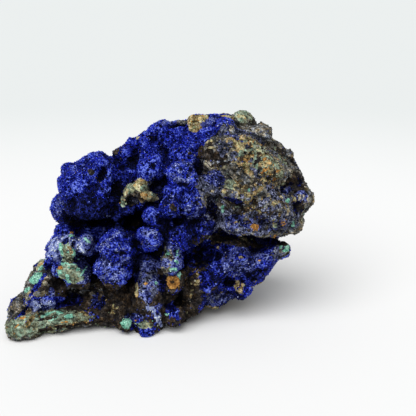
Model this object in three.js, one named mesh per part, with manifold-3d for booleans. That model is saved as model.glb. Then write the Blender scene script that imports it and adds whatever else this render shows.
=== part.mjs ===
// Azurite specimen: a hand-sized lump of copper ore that grew as one piece.
// Blue azurite nodules with a cauliflower surface cover a chipped brown matrix, with malachite on a
// thin toe at the left and a broad broken boss at the right. Millimetres, +Z up, front facing -Y.
import * as THREE from 'three';
import { ImprovedNoise } from 'three/addons/math/ImprovedNoise.js';
import { mergeVertices } from 'three/addons/utils/BufferGeometryUtils.js';
import Module from 'manifold-3d';

const wasm = await Module();
wasm.setup();

// Driving dimensions
const NODULE_EDGE = 2.2; // edge of a facet on an azurite nodule
const STONE_EDGE = 3.4; // edge of a facet on the matrix
const SHORTEST_EDGE = 1.2; // shorter edges along the seams are joined
const PIT_EDGE = 2.6; // edge of a facet inside a pit
const BUD_SIZE = 6.6; // width of one bud of the cauliflower surface
const BUD_RISE = 0.12; // how far a bud stands out, as a share of its nodule's radius
const BUD_VALLEY = 0.84; // how low the gaps between buds reach, as a share of the radius
const BUD_SHAKE = 0.6; // how far buds stray from an even spread over the ball
const ROUGHNESS = 1.5; // how far the matrix swells and dips
const ROUGH_WAVE = 9; // distance over which it does
const MOST_SWELL = 0.14; // the same as a share of a small lump's size, at most
const CHIPS = 22; // flat breaks on one lump of matrix
const CHIP_SHAKE = 0.9; // how far the breaks stray from an even spread
const DEEPEST_CHIP = 0.88; // distance of the deepest break from the centre, as a share of the size
const CHIP_RANGE = 0.22; // how far the breaks differ in depth
const PIT_SWELL = 0.22; // unevenness of a pit's wall, as a share of its size
const FOOT_DEPTH = 1.2; // how much of the underside is worn flat where it rests
const LEAST_FACING = 0.3; // a face may turn this far, as a cosine, when a short edge is joined

// Matrix: centre x, y, z, half sizes x, y, z, turn about y in degrees
const MATRIX = {
  boss: [28.5, 5.5, 51, 25, 20, 18.4, 38],
  bossShoulder: [39, 4.5, 43, 12, 17, 12.5, 24],
  crown: [20, 7, 62, 15, 15, 13, 20],
  middle: [4, 7, 38, 20, 18, 32, -8],
  leftNeck: [-22, 7, 28, 15, 15, 25, 10],
  base: [-17, 1, 10, 31, 17, 9, 0],
  frontSill: [-18, -8, 6.8, 23, 9.5, 5.6, 0],
  wedge: [21, 4, 22, 20, 18, 12.5, -12],
  wedgeEnd: [33, -1, 23.6, 11, 10, 5, -26],
  column: [-5, -14, 11, 6.5, 8, 14, 4],
  frontStem: [-13.5, -10, 28, 6, 9, 7, 0],
  brownFoot: [9.5, -7, 8, 9, 7.5, 3.8, -38],
  wedgeFoot: [18, 0, 9.2, 9, 7, 4.4, -6],
  lowCore: [8.5, 1, 10.5, 8.5, 10, 6.5, 0],
  backSpur: [14, 16, 14, 16, 11, 16, -10],
  backFlank: [-19, 13, 19, 19, 11, 18, 12],
  backFoot: [-27, 12, 8, 9, 8, 10, 0],
  leftSlope: [-41.5, -9, 13, 10, 11, 8.5, -42],
  toeTip: [-47.6, -19.2, 4.8, 6.8, 7, 4.4, -12],
  toeFront: [-39.5, -15.4, 5.6, 10, 7, 4.2, -5],
  toeRoot: [-29.5, -12.6, 6.4, 9.5, 7, 4, -4],
  toeBed: [-41, -10, 4.4, 11, 9, 3.6, 0],
};

// Azurite nodules: centre x, y, z, radius
const UPPER_LEFT_HEAD = [
  [-24.5, 2, 48.5, 12.8],
  [-35.4, 2, 41.4, 5.8],
  [-22.5, -5, 56, 5.8],
  [-15.5, -1, 51, 5.8],
  [-32.2, -5, 51, 5.5],
  [-25, -9, 45.5, 6.2],
  [-18.5, -5, 42.5, 5.2],
  [-29, 3, 55, 5],
  [-21, 11, 50, 9],
];
const CREST = [
  [-12.5, 4, 60, 5.6],
  [-7, 3, 64.5, 4.8],
  [0, 4, 69.3, 4.6],
  [8.5, 5, 69.5, 3.6],
  [-4.5, 0, 60.5, 5],
  [5, 2, 66, 5.2],
  [10, -2, 65, 4.4],
  [-3, 11, 63, 7],
  [21.5, -2, 71.5, 4.2],
];
const CENTRE_BALLS = [
  [-3.3, -8, 58.2, 5.3],
  [7.6, -12, 56.4, 6],
  [7.5, -6, 62.4, 4.8],
  [5, -14, 51, 4.4],
  [3.6, -18, 46.6, 4],
  [-2.5, -16, 43, 3.6],
  [10, -14, 47.5, 5],
  [14, -11, 40.5, 5.6],
  [6.5, -17, 36.6, 5.3],
  [0.5, -16, 39.5, 4],
  [-3.2, -21.5, 37.8, 3.8],
  [-3.4, -21.5, 35.4, 3.2],
  [-1.2, -18.4, 39, 3.6],
  [-15.6, -5.5, 39.4, 5.6],
  [4, -18, 28, 4],
];
const FRONT_PAIR = [
  [-15.4, -18, 31.8, 6.6],
  [-16.4, -21, 25.8, 5.8],
  [-12.4, -15.6, 34.4, 3.6],
  [-12.8, -15.8, 27.6, 3.8],
];
const LEFT_LOBE = [
  [-33.6, -10, 30, 6.8],
  [-26, -15, 32, 3.1],
  [-32, -14, 22.4, 6.2],
  [-35.5, -6, 35, 3.6],
  [-37.6, -8, 25, 4.4],
  [-28.6, -17, 20.8, 3.8],
];
const LOW_NODULES = [
  [-24, -13, 10.5, 4.6],
  [4, -16, 7.4, 3.5],
  [-12.7, -18, 5, 2.8],
  [-5, -18, 4, 3.6],
  [11.5, -7, 17, 8],
  [21.5, 1, 11, 5],
  [27, -5, 14, 4.6],
  [43, -4, 27.2, 3.1],
];
const BACK_NODULES = [
  [-30, 12, 44, 8],
  [-23, 18, 38, 7],
  [-34, 12, 33, 5.5],
  [-15, 19, 47, 6.5],
  [-23, 20, 28, 5.5],
  [-9, 20, 55, 6],
  [-3, 17, 61, 5.5],
  [-36, 11, 20, 5],
  [-30, 19, 15, 4.6],
  [38, 19, 32, 5],
  [32, 22, 35, 4.2],
];
const SEAM_NODULES = [
  [-34, 0, 47, 4.2],
  [-10.4, 4, 65, 3.2],
  [-6.4, 4, 66.8, 3.2],
  [5.2, 5, 70.2, 3.2],
  [3.6, -14.5, 20.6, 4.6],
  [1.5, -11.5, 40, 6],
  [9.8, -10.5, 35.5, 5.6],
  [-8.5, -10, 33, 5.5],
  [-28.6, -8.6, 51.4, 4],
  [-20.6, -8.8, 50.6, 4],
  [-30.6, -7.4, 45, 4],
  [-21.6, -9.6, 43.2, 3.8],
  [-16.8, -6.2, 46.6, 4],
  [-6.4, -11.4, 23.7, 5.4],
  [-0.4, -12, 22.4, 5.2],
  [-0.5, -11.4, 14.2, 5.2],
];
const NODULE_GROUPS = [
  UPPER_LEFT_HEAD, CREST, CENTRE_BALLS, FRONT_PAIR, LEFT_LOBE, LOW_NODULES, BACK_NODULES, SEAM_NODULES,
];

// Small knobs of matrix: centre x, y, z, half sizes x, y, z, turn about y in degrees
const KNOBS = {
  nub: [-8.6, -9, 49, 5, 5, 4.4, -30],
  nubFoot: [-12, -9, 44.6, 3.6, 4, 3.2, 0],
  crestSpur: [-17, 6, 62, 2.2, 2, 1.4, -20],
  tanLump: [14, 4, 71.4, 7.4, 5.5, 4.6, 8],
  greenPeak: [29.5, 6, 72, 4.6, 5, 3.4, 30],
  topShoulder: [34, 4, 66, 6, 7, 5, 40],
  browLump: [20, -8, 66.5, 6, 4.5, 3.6, 15],
  ridgeLump: [35, -8.5, 60, 8.5, 5, 5.5, 38],
  scarBrow: [26, -15, 51, 6, 4.5, 2.4, 12],
  faceStep: [37, -11, 46, 7.5, 5.5, 5.5, 30],
  bossLip: [30, -9, 38.4, 12, 6, 3.6, 12],
  blueStep: [17, -11.5, 54, 4.5, 4, 4.4, 0],
  rightSpur: [45, 7, 60.5, 3, 3, 2, 20],
  rightKnob: [48, 1, 46, 5, 7, 6, 0],
  rightChin: [44.5, 0, 38, 6, 8, 5, 25],
  slopeFlake: [-44.6, -8, 18.8, 7, 5, 2.6, -64],
  slopeKnuckle: [-51, -15, 9.4, 3.6, 5, 5, 30],
  backLedgeTop: [26, 21, 58, 14, 6, 9, 35],
  backLedgeMid: [6, 22, 44, 16, 6, 10, 25],
  backLedgeLow: [16, 22, 26, 14, 6, 9, -12],
  backLedgeLeft: [-14, 19, 30, 12, 6, 12, -20],
  backKnuckle: [40, 17, 42, 8, 7, 8, 10],
};

// Pits: centre x, y, z, half sizes x, y, z
const PITS = {
  cavityLeft: [-22.5, -9, 38.8, 6.4, 9, 2.6],
  cavityRight: [-9.4, -10, 39.6, 4.6, 8, 3.6],
  underHang: [-20.5, -24, 15, 8.5, 9.5, 5],
  brownHollow: [17, -15.4, 61.6, 5.6, 5, 4],
  rightHole: [46, -7.5, 51.6, 5, 4.4, 4.4],
  ovalScar: [25.2, -17, 45.6, 5.8, 3.4, 4.2],
  nubSocket: [-10.2, -13.4, 47.4, 2.8, 3.2, 2.6],
  rustSocket: [3.4, -19.4, 20.2, 2, 2.2, 2],
  wedgeEye: [24, -14.2, 18, 2.3, 3.4, 1.7],
  lobeHole: [-34.2, -16, 34.4, 1.3, 2.6, 1.3],
  lobeHollow: [-36, -19.5, 20.4, 3, 4, 3],
  headPit: [-20, -10.5, 57.4, 1.7, 2.8, 2],
  ledgeGroove: [24.5, -10.5, 34.6, 10.5, 6, 1.5],
  wedgeHollow: [15, -12, 29, 6.5, 5.5, 4.5],
};

const noise = new ImprovedNoise();

// A seeded random number source, the same on every run.
function randomSource(seed) {
  let state = seed;
  return () => {
    state = (Math.imul(state, 1664525) + 1013904223) >>> 0;
    return state / 4294967296;
  };
}

// Directions spread evenly over a sphere, shaken a little.
function spreadDirections(count, random, shake) {
  const golden = Math.PI * (3 - Math.sqrt(5));
  return Array.from({ length: count }, (_, i) => {
    const z = 1 - (2 * (i + 0.5)) / count;
    const ring = Math.sqrt(1 - z * z);
    const turn = golden * i;
    const direction = new THREE.Vector3(ring * Math.cos(turn), ring * Math.sin(turn), z);
    direction.x += shake * (random() - 0.5);
    direction.y += shake * (random() - 0.5);
    direction.z += shake * (random() - 0.5);
    return direction.normalize();
  });
}

// A ball of triangles whose edges are close to the given length.
function ball(radius, edge) {
  const triangles = (4 * Math.PI * radius * radius) / ((Math.sqrt(3) / 4) * edge * edge);
  const icosahedronFaces = 20;
  const detail = Math.max(1, Math.round(Math.sqrt(triangles / icosahedronFaces) - 1));
  const geometry = new THREE.IcosahedronGeometry(1, detail);
  geometry.deleteAttribute('normal');
  geometry.deleteAttribute('uv');
  return mergeVertices(geometry, 1e-4);
}

// Moves each vertex of a unit ball along its own direction to the distance that reach() gives.
function reshape(geometry, reach) {
  const place = geometry.getAttribute('position');
  const direction = new THREE.Vector3();
  for (let i = 0; i < place.count; i++) {
    direction.fromBufferAttribute(place, i).normalize();
    direction.multiplyScalar(reach(direction));
    place.setXYZ(i, direction.x, direction.y, direction.z);
  }
  return geometry;
}

// A closed mesh as a solid that can be joined and cut.
function toSolid(geometry) {
  return new wasm.Manifold(new wasm.Mesh({
    numProp: 3,
    vertProperties: new Float32Array(geometry.getAttribute('position').array),
    triVerts: new Uint32Array(geometry.index.array),
  }));
}

// One azurite nodule: a ball of buds packed side by side, each bud part of a smaller ball.
function nodule([x, y, z, radius], seed) {
  const random = randomSource(seed);
  const budArea = 0.75 * BUD_SIZE * BUD_SIZE;
  const budCount = Math.max(8, Math.round((4 * Math.PI * radius * radius) / budArea));
  const budRadius = 1.15 * Math.sqrt(4 / budCount);
  const budCentre = 1 + BUD_RISE - budRadius;
  const buds = spreadDirections(budCount, random, BUD_SHAKE).map((direction) => ({
    direction,
    size: budRadius * (0.82 + 0.3 * random()),
  }));
  const geometry = reshape(ball(radius, NODULE_EDGE), (direction) => {
    let reach = BUD_VALLEY;
    for (const bud of buds) {
      const along = direction.dot(bud.direction) * budCentre;
      const inside = bud.size * bud.size - budCentre * budCentre + along * along;
      if (inside > 0) reach = Math.max(reach, along + Math.sqrt(inside));
    }
    return reach * radius;
  });
  geometry.translate(x, y, z);
  return toSolid(geometry);
}

// A lump of matrix: an uneven ball with flat breaks.
function stone([x, y, z, sizeX, sizeY, sizeZ, turn], seed) {
  const random = randomSource(seed);
  const breaks = spreadDirections(CHIPS, random, CHIP_SHAKE).map((direction) => ({
    direction,
    depth: DEEPEST_CHIP + CHIP_RANGE * random(),
  }));
  const size = Math.cbrt(sizeX * sizeY * sizeZ);
  const swell = Math.min(ROUGHNESS / size, MOST_SWELL);
  const wave = size / ROUGH_WAVE;
  const shift = 10 * random();
  const geometry = reshape(ball(size, Math.min(STONE_EDGE, 0.5 * size)), (direction) => {
    let reach = 1.06;
    for (const { direction: normal, depth } of breaks) {
      const facing = direction.dot(normal);
      if (facing > 0.2) reach = Math.min(reach, depth / facing);
    }
    const { x: dx, y: dy, z: dz } = direction.clone().multiplyScalar(wave);
    const broad = noise.noise(dx + shift, dy, dz);
    const fine = noise.noise(2.3 * dx, 2.3 * dy + shift, 2.3 * dz);
    return reach + swell * (broad + 0.6 * fine);
  });
  geometry.scale(sizeX, sizeY, sizeZ);
  geometry.rotateY(THREE.MathUtils.degToRad(turn));
  geometry.translate(x, y, z);
  return toSolid(geometry);
}

// The space of a pit: an uneven ball.
function pit([x, y, z, sizeX, sizeY, sizeZ], seed) {
  const shift = 3.1 * seed;
  const size = Math.cbrt(sizeX * sizeY * sizeZ);
  const geometry = reshape(ball(size, Math.min(PIT_EDGE, size)), (direction) =>
    1 + PIT_SWELL * noise.noise(2 * direction.x + shift, 2 * direction.y, 2 * direction.z));
  geometry.scale(sizeX, sizeY, sizeZ);
  geometry.translate(x, y, z);
  return toSolid(geometry);
}

// The ground that the underside is worn flat against.
function ground() {
  const size = 400;
  const block = new THREE.BoxGeometry(size, size, size);
  block.deleteAttribute('normal');
  block.deleteAttribute('uv');
  const geometry = mergeVertices(block);
  geometry.translate(0, 0, FOOT_DEPTH - size / 2);
  return toSolid(geometry);
}

// Joins the ends of every edge shorter than the given length, where the surface stays closed and no
// face turns over, so that the seams between lumps hold no slivers.
function joinShortEdges(mesh, shortest) {
  const places = Array.from({ length: mesh.numVert }, (_, i) =>
    new THREE.Vector3().fromArray(mesh.vertProperties, i * mesh.numProp));
  const faces = Array.from({ length: mesh.numTri }, (_, i) => [...mesh.triVerts.subarray(3 * i, 3 * i + 3)]);
  const facesAt = places.map(() => new Set());
  faces.forEach((face, i) => face.forEach((v) => facesAt[v].add(i)));
  const around = (v) => new Set([...facesAt[v]].flatMap((i) => faces[i]).filter((other) => other !== v));
  const normal = (corners) =>
    new THREE.Triangle(...corners.map((v) => places[v])).getNormal(new THREE.Vector3());
  const turnsOver = (v, skip, place) => [...facesAt[v]].some((i) => {
    if (faces[i].includes(skip)) return false;
    const [a, b, c] = faces[i].map((w) => (w === v ? place : places[w]));
    const after = new THREE.Triangle(a, b, c).getNormal(new THREE.Vector3());
    return after.dot(normal(faces[i])) < LEAST_FACING;
  });
  let joined = true;
  while (joined) {
    joined = false;
    for (let v = 0; v < places.length; v++) {
      for (const w of around(v)) {
        if (places[v].distanceTo(places[w]) > shortest) continue;
        const shared = [...around(v)].filter((other) => around(w).has(other));
        const middle = places[v].clone().lerp(places[w], 0.5);
        if (shared.length !== 2 || turnsOver(v, w, middle) || turnsOver(w, v, middle)) continue;
        places[v].copy(middle);
        for (const i of facesAt[w]) {
          if (faces[i].includes(v)) {
            faces[i].forEach((other) => other !== w && facesAt[other].delete(i));
            faces[i] = null;
          } else {
            faces[i] = faces[i].map((other) => (other === w ? v : other));
            facesAt[v].add(i);
          }
        }
        facesAt[w].clear();
        joined = true;
        break;
      }
    }
  }
  return geometryOf(places.flatMap((place) => place.toArray()), faces.filter(Boolean).flat());
}

// A triangle mesh from flat lists of positions and corners.
function geometryOf(positions, corners) {
  const geometry = new THREE.BufferGeometry();
  geometry.setAttribute('position', new THREE.Float32BufferAttribute(positions, 3));
  geometry.setIndex(corners);
  return geometry;
}

// The whole specimen: matrix, toe and nodules joined, pits cut, underside worn flat, centred on its foot.
function specimenGeometry() {
  const stones = [...Object.values(MATRIX), ...Object.values(KNOBS)].map((row, i) => stone(row, 11 + i));
  const nodules = NODULE_GROUPS.flat().map((row, i) => nodule(row, 101 + i));
  const pits = Object.values(PITS).map((row, i) => pit(row, 1 + i));
  const grown = [...stones, ...nodules].reduce((whole, piece) => whole.add(piece));
  const pitted = pits.reduce((whole, space) => whole.subtract(space), grown);
  const smooth = mergeVertices(joinShortEdges(pitted.getMesh(), SHORTEST_EDGE));
  const mesh = toSolid(smooth).subtract(ground()).getMesh();
  const geometry = geometryOf([...mesh.vertProperties], [...mesh.triVerts]);
  geometry.computeBoundingBox();
  const { min, max } = geometry.boundingBox;
  geometry.translate(-(min.x + max.x) / 2, -(min.y + max.y) / 2, -min.z);
  geometry.computeVertexNormals();
  return geometry;
}

const azurite = new THREE.MeshStandardMaterial({ color: 0x1b2c9c, roughness: 0.7, metalness: 0 });
const specimen = new THREE.Mesh(specimenGeometry(), azurite);
specimen.name = 'specimen';

const part = new THREE.Group();
part.add(specimen);
export default part;
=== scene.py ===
"""Azurite specimen: the looks of a hand-sized lump of copper ore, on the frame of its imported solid.

The surface is made in layers. A body follows the solid and carries buds, chips, pores and ledges.
Azurite crystals, matrix grit and malachite beads grow on it. A map of minerals says which grows where,
and each mineral has a finish of its own.
"""

import logging
import math
from dataclasses import dataclass
from enum import Enum, IntEnum
from typing import Iterable

import bmesh
import bpy
import numpy as np
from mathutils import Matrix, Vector
from mathutils.bvhtree import BVHTree

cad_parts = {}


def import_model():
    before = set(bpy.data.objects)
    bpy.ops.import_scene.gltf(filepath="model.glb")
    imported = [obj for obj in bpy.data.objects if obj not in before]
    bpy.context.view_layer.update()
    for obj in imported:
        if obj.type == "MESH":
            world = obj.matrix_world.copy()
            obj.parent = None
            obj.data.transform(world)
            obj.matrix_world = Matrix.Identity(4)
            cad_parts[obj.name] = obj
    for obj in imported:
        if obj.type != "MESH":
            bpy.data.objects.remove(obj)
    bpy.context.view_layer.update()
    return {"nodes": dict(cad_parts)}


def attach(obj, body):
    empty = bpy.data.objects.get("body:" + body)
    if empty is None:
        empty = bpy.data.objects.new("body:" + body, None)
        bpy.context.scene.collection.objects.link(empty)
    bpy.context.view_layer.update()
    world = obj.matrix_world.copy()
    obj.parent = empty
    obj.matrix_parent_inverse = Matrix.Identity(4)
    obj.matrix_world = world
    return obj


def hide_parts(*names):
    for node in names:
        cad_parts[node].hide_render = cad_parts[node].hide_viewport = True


LOG = logging.getLogger("azurite_specimen")
MM = 0.001
NODE = "specimen"
BODY = "root"
Colour = tuple[float, float, float]
Pixel = tuple[float, float]

# A distance beyond all patches and cells, and small numbers that nothing is divided by less than
FAR = 9.0
TINY = 1e-9
LEAST_WEIGHT = 1e-6

# Numbers that stir the bits of the noise
CELL_PRIMES = (374761393, 668265263, 2246822519)
SEED_PRIME = 7919
SALT_PRIME = 104729
STIR_PRIME = 1274126177
STIR_BITS = (13, 16)
WORD = 0xFFFFFFFF


class Mineral(Enum):
    """The minerals that show on the specimen, in the order in which their weights are kept."""

    AZURITE = 0
    # Pale dusty azurite, also laid as painted highlights along the lit rims of the head and front lobe
    DUSTY_AND_PAINTED_HIGHLIGHT = 1
    MATRIX = 2
    EARTH = 3
    # Dark brown earth, also laid as painted shade in recesses, below ledges and under the specimen
    SOOT_AND_PAINTED_SHADE = 4
    SAGE = 5
    MALACHITE = 6
    RUST = 7
    CHALK = 8
    # Near-black blue, laid mostly as painted shade in gaps, holes, cavities and undersides, and in a few
    # real dark bands
    PAINTED_SHADE_AND_DARK_BLUE = 9
    TAN = 10
    SLATE = 11


BLUE = (Mineral.AZURITE, Mineral.DUSTY_AND_PAINTED_HIGHLIGHT, Mineral.PAINTED_SHADE_AND_DARK_BLUE)
STONE = (Mineral.MATRIX, Mineral.EARTH, Mineral.SOOT_AND_PAINTED_SHADE, Mineral.TAN, Mineral.SLATE)
PLATE = (Mineral.SAGE, Mineral.MALACHITE)


class NoiseSeed(IntEnum):
    """The seeds of the noises, so that no two are alike. Spots and patches count on from theirs."""

    SWELL = 3
    WANDER = 5
    ROUGH = 11
    RIDGE = 12
    PORE = 13
    BED = 14
    SPOT = 300
    PATCH = 400


@dataclass(frozen=True)
class Noise:
    """Seeded noise over points in millimetres.

    lattice_shift keeps the lattice off the frame's planes. Each layer of a fractal is shifted by layer_shift
    and weaker than the last by layer_fade.
    """

    seed: int
    lattice_shift: float = 0.37
    layer_shift: float = 31.7
    layer_fade: float = 1.7

    def _random(self, cells: np.ndarray, salt: int) -> np.ndarray:
        """Gives one random value from 0 to 1 for each cell of a lattice.

        Args:
            cells: Whole-number cell places, the last axis being x, y, z.
            salt: Picks one of many independent sets of values.

        Returns:
            An array with one value per cell.
        """
        x, y, z = (cells[..., i].astype(np.int64) * prime for i, prime in enumerate(CELL_PRIMES))
        mixed = x + y + z + int(self.seed) * SEED_PRIME + salt * SALT_PRIME
        mixed = (mixed & WORD).astype(np.uint64)
        first, second = (np.uint64(bits) for bits in STIR_BITS)
        mixed = ((mixed ^ (mixed >> first)) * np.uint64(STIR_PRIME)) & np.uint64(WORD)
        mixed = mixed ^ (mixed >> second)
        return mixed.astype(float) / WORD

    def waves(self, points: np.ndarray, size: float) -> np.ndarray:
        """Smooth noise from -1 to 1.

        Args:
            points: Places in millimetres.
            size: Distance in millimetres over which the noise changes.

        Returns:
            One value per point.
        """
        scaled = points / size + self.lattice_shift
        corner = np.floor(scaled)
        share = smooth_step(0, 1, scaled - corner)
        total = np.zeros(len(points))
        for step in np.ndindex(2, 2, 2):
            offset = np.array(step)
            weight = np.prod(np.where(offset == 1, share, 1 - share), axis=1)
            total += weight * self._random(corner + offset, 0)
        return 2 * total - 1

    def fractal(self, points: np.ndarray, size: float, octaves: int = 4) -> np.ndarray:
        """Noise with finer noise laid over it, from about -1 to 1.

        Args:
            points: Places in millimetres.
            size: Size of the broadest waves in millimetres.
            octaves: How many layers there are, each half as wide as the last.

        Returns:
            One value per point.
        """
        total = np.zeros(len(points))
        for i in range(octaves):
            total += self.waves(points + self.layer_shift * i, size / 2**i) / self.layer_fade**i
        return total

    def cells(self, points: np.ndarray, size: float) -> tuple[np.ndarray, np.ndarray]:
        """Packed cells, as pores lie side by side.

        Args:
            points: Places in millimetres.
            size: Width of a cell in millimetres.

        Returns:
            The distance to the nearest cell centre in cell widths, and a random value from 0 to 1 of that
            cell.
        """
        scaled = points / size
        home = np.floor(scaled)
        near = np.full(len(points), FAR)
        name = np.zeros(len(points))
        for step in np.ndindex(3, 3, 3):
            cell = home + np.array(step) - 1
            centre = cell + np.stack([self._random(cell, salt) for salt in (1, 2, 3)], axis=1)
            distance = np.linalg.norm(scaled - centre, axis=1)
            nearer = distance < near
            name = np.where(nearer, self._random(cell, 4), name)
            near = np.where(nearer, distance, near)
        return near, name


def smooth_step(low: float, high: float, values: np.ndarray) -> np.ndarray:
    """Rises from 0 at low to 1 at high, with soft ends.

    Args:
        low: Where the rise starts.
        high: Where it ends.
        values: What to read.

    Returns:
        One share per value.
    """
    share = np.clip((values - low) / (high - low), 0, 1)
    return share * share * (3 - 2 * share)


def linked(name: str, data: bpy.types.ID) -> bpy.types.Object:
    """Puts a new object into the scene.

    Args:
        name: The object's name.
        data: Its mesh, camera or light.

    Returns:
        The object.
    """
    thing = bpy.data.objects.new(name, data)
    bpy.context.scene.collection.objects.link(thing)
    return thing


def skewed(limits: tuple[float, float], power: float, count: int,
           random: np.random.Generator) -> np.ndarray:
    """Random sizes, of which most are small.

    Args:
        limits: The least and the greatest size.
        power: How much the small ones prevail, from 1 for not at all.
        count: How many.
        random: Where the chances come from.

    Returns:
        The sizes.
    """
    low, high = limits
    return low + (high - low) * random.random(count) ** power


@dataclass
class Shape:
    """A mesh held as arrays, in millimetres. All its faces have the same number of corners."""

    points: np.ndarray
    faces: np.ndarray

    @classmethod
    def of_mesh(cls, mesh: bpy.types.Mesh) -> "Shape":
        """Reads a mesh whose faces all have as many corners as its first.

        Args:
            mesh: The mesh, in metres.

        Returns:
            Its shape in millimetres.
        """
        points = np.empty(len(mesh.vertices) * 3, np.float32)
        mesh.vertices.foreach_get("co", points)
        corners = np.empty(len(mesh.loops), np.int32)
        mesh.loops.foreach_get("vertex_index", corners)
        side = mesh.polygons[0].loop_total
        return cls(points.reshape(-1, 3).astype(float) / MM, corners.reshape(-1, side))

    @classmethod
    def joined(cls, shapes: Iterable["Shape"]) -> "Shape":
        """Puts shapes of triangles into one, without joining their surfaces.

        Args:
            shapes: The shapes to put together.

        Returns:
            One shape that holds them all.
        """
        points, faces, start = [], [], 0
        for shape in shapes:
            points.append(shape.points)
            faces.append(shape.triangles() + start)
            start += len(shape.points)
        return cls(np.concatenate(points), np.concatenate(faces))

    def triangles(self) -> np.ndarray:
        """The faces as triangles, a square one split in two."""
        if self.faces.shape[1] == 3:
            return self.faces
        return np.concatenate([self.faces[:, [0, 1, 2]], self.faces[:, [0, 2, 3]]])

    def to_mesh(self, name: str) -> bpy.types.Mesh:
        """Writes the shape as a Blender mesh in metres.

        Args:
            name: The mesh's name.

        Returns:
            The new mesh.
        """
        count, side = self.faces.shape
        mesh = bpy.data.meshes.new(name)
        mesh.vertices.add(len(self.points))
        mesh.vertices.foreach_set("co", (self.points * MM).astype(np.float32).ravel())
        mesh.loops.add(count * side)
        mesh.loops.foreach_set("vertex_index", self.faces.astype(np.int32).ravel())
        mesh.polygons.add(count)
        mesh.polygons.foreach_set("loop_start", np.arange(count, dtype=np.int32) * side)
        mesh.update(calc_edges=True)
        return mesh

    def remeshed(self, voxel: float) -> "Shape":
        """Covers the outside of the shape with even squares, so that what overlaps grows together.

        Args:
            voxel: Width of a square in millimetres.

        Returns:
            The new shape.
        """
        piece = linked("remesh", self.to_mesh("remesh"))
        cover = piece.modifiers.new("cover", "REMESH")
        cover.mode = "VOXEL"
        cover.voxel_size = voxel * MM
        ready = piece.evaluated_get(bpy.context.evaluated_depsgraph_get())
        shape = Shape.of_mesh(ready.to_mesh())
        ready.to_mesh_clear()
        mesh = piece.data
        bpy.data.objects.remove(piece)
        bpy.data.meshes.remove(mesh)
        return shape

    def edges(self) -> np.ndarray:
        """Every edge once, as pairs of points."""
        pairs = np.stack([self.faces.ravel(), np.roll(self.faces, -1, axis=1).ravel()], axis=1)
        return np.unique(np.sort(pairs, axis=1), axis=0)

    def averaged(self, values: np.ndarray, rounds: int, strength: float = 0.5) -> np.ndarray:
        """Spreads values that belong to the points along the surface.

        Args:
            values: One row per point.
            rounds: How often each point moves towards its neighbours.
            strength: How far it moves each time, from 0 to 1.

        Returns:
            The smoothed values.
        """
        start, end = self.edges().T
        count = len(self.points)
        around = np.bincount(start, minlength=count) + np.bincount(end, minlength=count)
        result = np.array(values, float).reshape(count, -1)
        for _ in range(rounds):
            total = np.empty_like(result)
            for i, column in enumerate(result.T):
                onward = np.bincount(start, column[end], count)
                total[:, i] = onward + np.bincount(end, column[start], count)
            result = result + strength * (total / around[:, None] - result)
        return result.reshape(np.shape(values))

    def normals(self) -> np.ndarray:
        """The outward direction at each point."""
        triangles = self.triangles()
        a, b, c = (self.points[triangles[:, i]] for i in range(3))
        faces = np.cross(b - a, c - a)
        total = np.zeros_like(self.points)
        for i in range(3):
            for axis in range(3):
                total[:, axis] += np.bincount(triangles[:, i], faces[:, axis], len(self.points))
        return total / np.maximum(np.linalg.norm(total, axis=1, keepdims=True), TINY)

    def lifted(self, heights: np.ndarray) -> "Shape":
        """The shape with each point moved outwards by a height of its own, in millimetres."""
        return Shape(self.points + self.normals() * heights[:, None], self.faces)

    def openness(self, rays: int, reach: float, clearance: float = 0.05, seed: int = 7) -> np.ndarray:
        """How open the surface is about each point.

        Args:
            rays: How many ways to look from each point.
            reach: How far to look, in millimetres.
            clearance: How far off the surface to look from, in millimetres.
            seed: Seed of the chance turn of the ways.

        Returns:
            For each point, the share of ways in which nothing is near.
        """
        tree = BVHTree.FromPolygons(self.points.tolist(), self.faces.tolist())
        normals = self.normals()
        steps = np.arange(rays)
        spread, turn = np.sqrt((steps + 0.5) / rays), steps * math.pi * (3 - math.sqrt(5))
        fan = np.stack([spread * np.cos(turn), spread * np.sin(turn), np.sqrt(1 - spread**2)], axis=1)
        ways = np.einsum("ri,nij->nrj", fan, frames_on(normals, np.random.default_rng(seed))).tolist()
        starts = (self.points + clearance * normals).tolist()
        free = [
            sum(tree.ray_cast(start, way, reach)[0] is None for way in around)
            for start, around in zip(starts, ways)
        ]
        return np.array(free) / rays

    def hollows(self, rounds: int) -> np.ndarray:
        """How far each point lies below the surface around it, in millimetres.

        Args:
            rounds: How wide the surroundings are, in rounds of smoothing.

        Returns:
            One depth per point, below zero on bumps.
        """
        return np.sum((self.averaged(self.points, rounds) - self.points) * self.normals(), axis=1)


@dataclass(frozen=True)
class FrontView:
    """The camera of the front view, as a pinhole: metres, degrees and pixels of a square frame."""

    place: tuple[float, float, float] = (0.01679, -0.28239, 0.118)
    tilt: float = 15.3
    focal: float = 803.0
    frame: float = 416.0
    sensor: float = 36.0
    clip: tuple[float, float] = (0.01, 50.0)

    def axes(self) -> tuple[np.ndarray, np.ndarray, np.ndarray]:
        """The directions to the right, up and forward."""
        sine, cosine = math.sin(math.radians(self.tilt)), math.cos(math.radians(self.tilt))
        return np.array([1.0, 0, 0]), np.array([0, sine, cosine]), np.array([0, cosine, -sine])

    def ray(self, pixel: Pixel) -> np.ndarray:
        """The direction in which a pixel looks.

        Args:
            pixel: Its place in the frame, from the top left.

        Returns:
            A direction of length 1.
        """
        right, up, forward = self.axes()
        half = self.frame / 2
        ray = forward + right * (pixel[0] - half) / self.focal + up * (half - pixel[1]) / self.focal
        return ray / np.linalg.norm(ray)

    def build(self) -> bpy.types.Object:
        """Makes the scene's camera."""
        data = bpy.data.cameras.new("front_view")
        data.sensor_width = self.sensor
        data.lens = self.focal / self.frame * self.sensor
        data.clip_start, data.clip_end = self.clip
        camera = linked("front_view", data)
        camera.location = self.place
        camera.rotation_euler = (math.radians(90 - self.tilt), 0, 0)
        bpy.context.scene.camera = camera
        return camera


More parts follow.
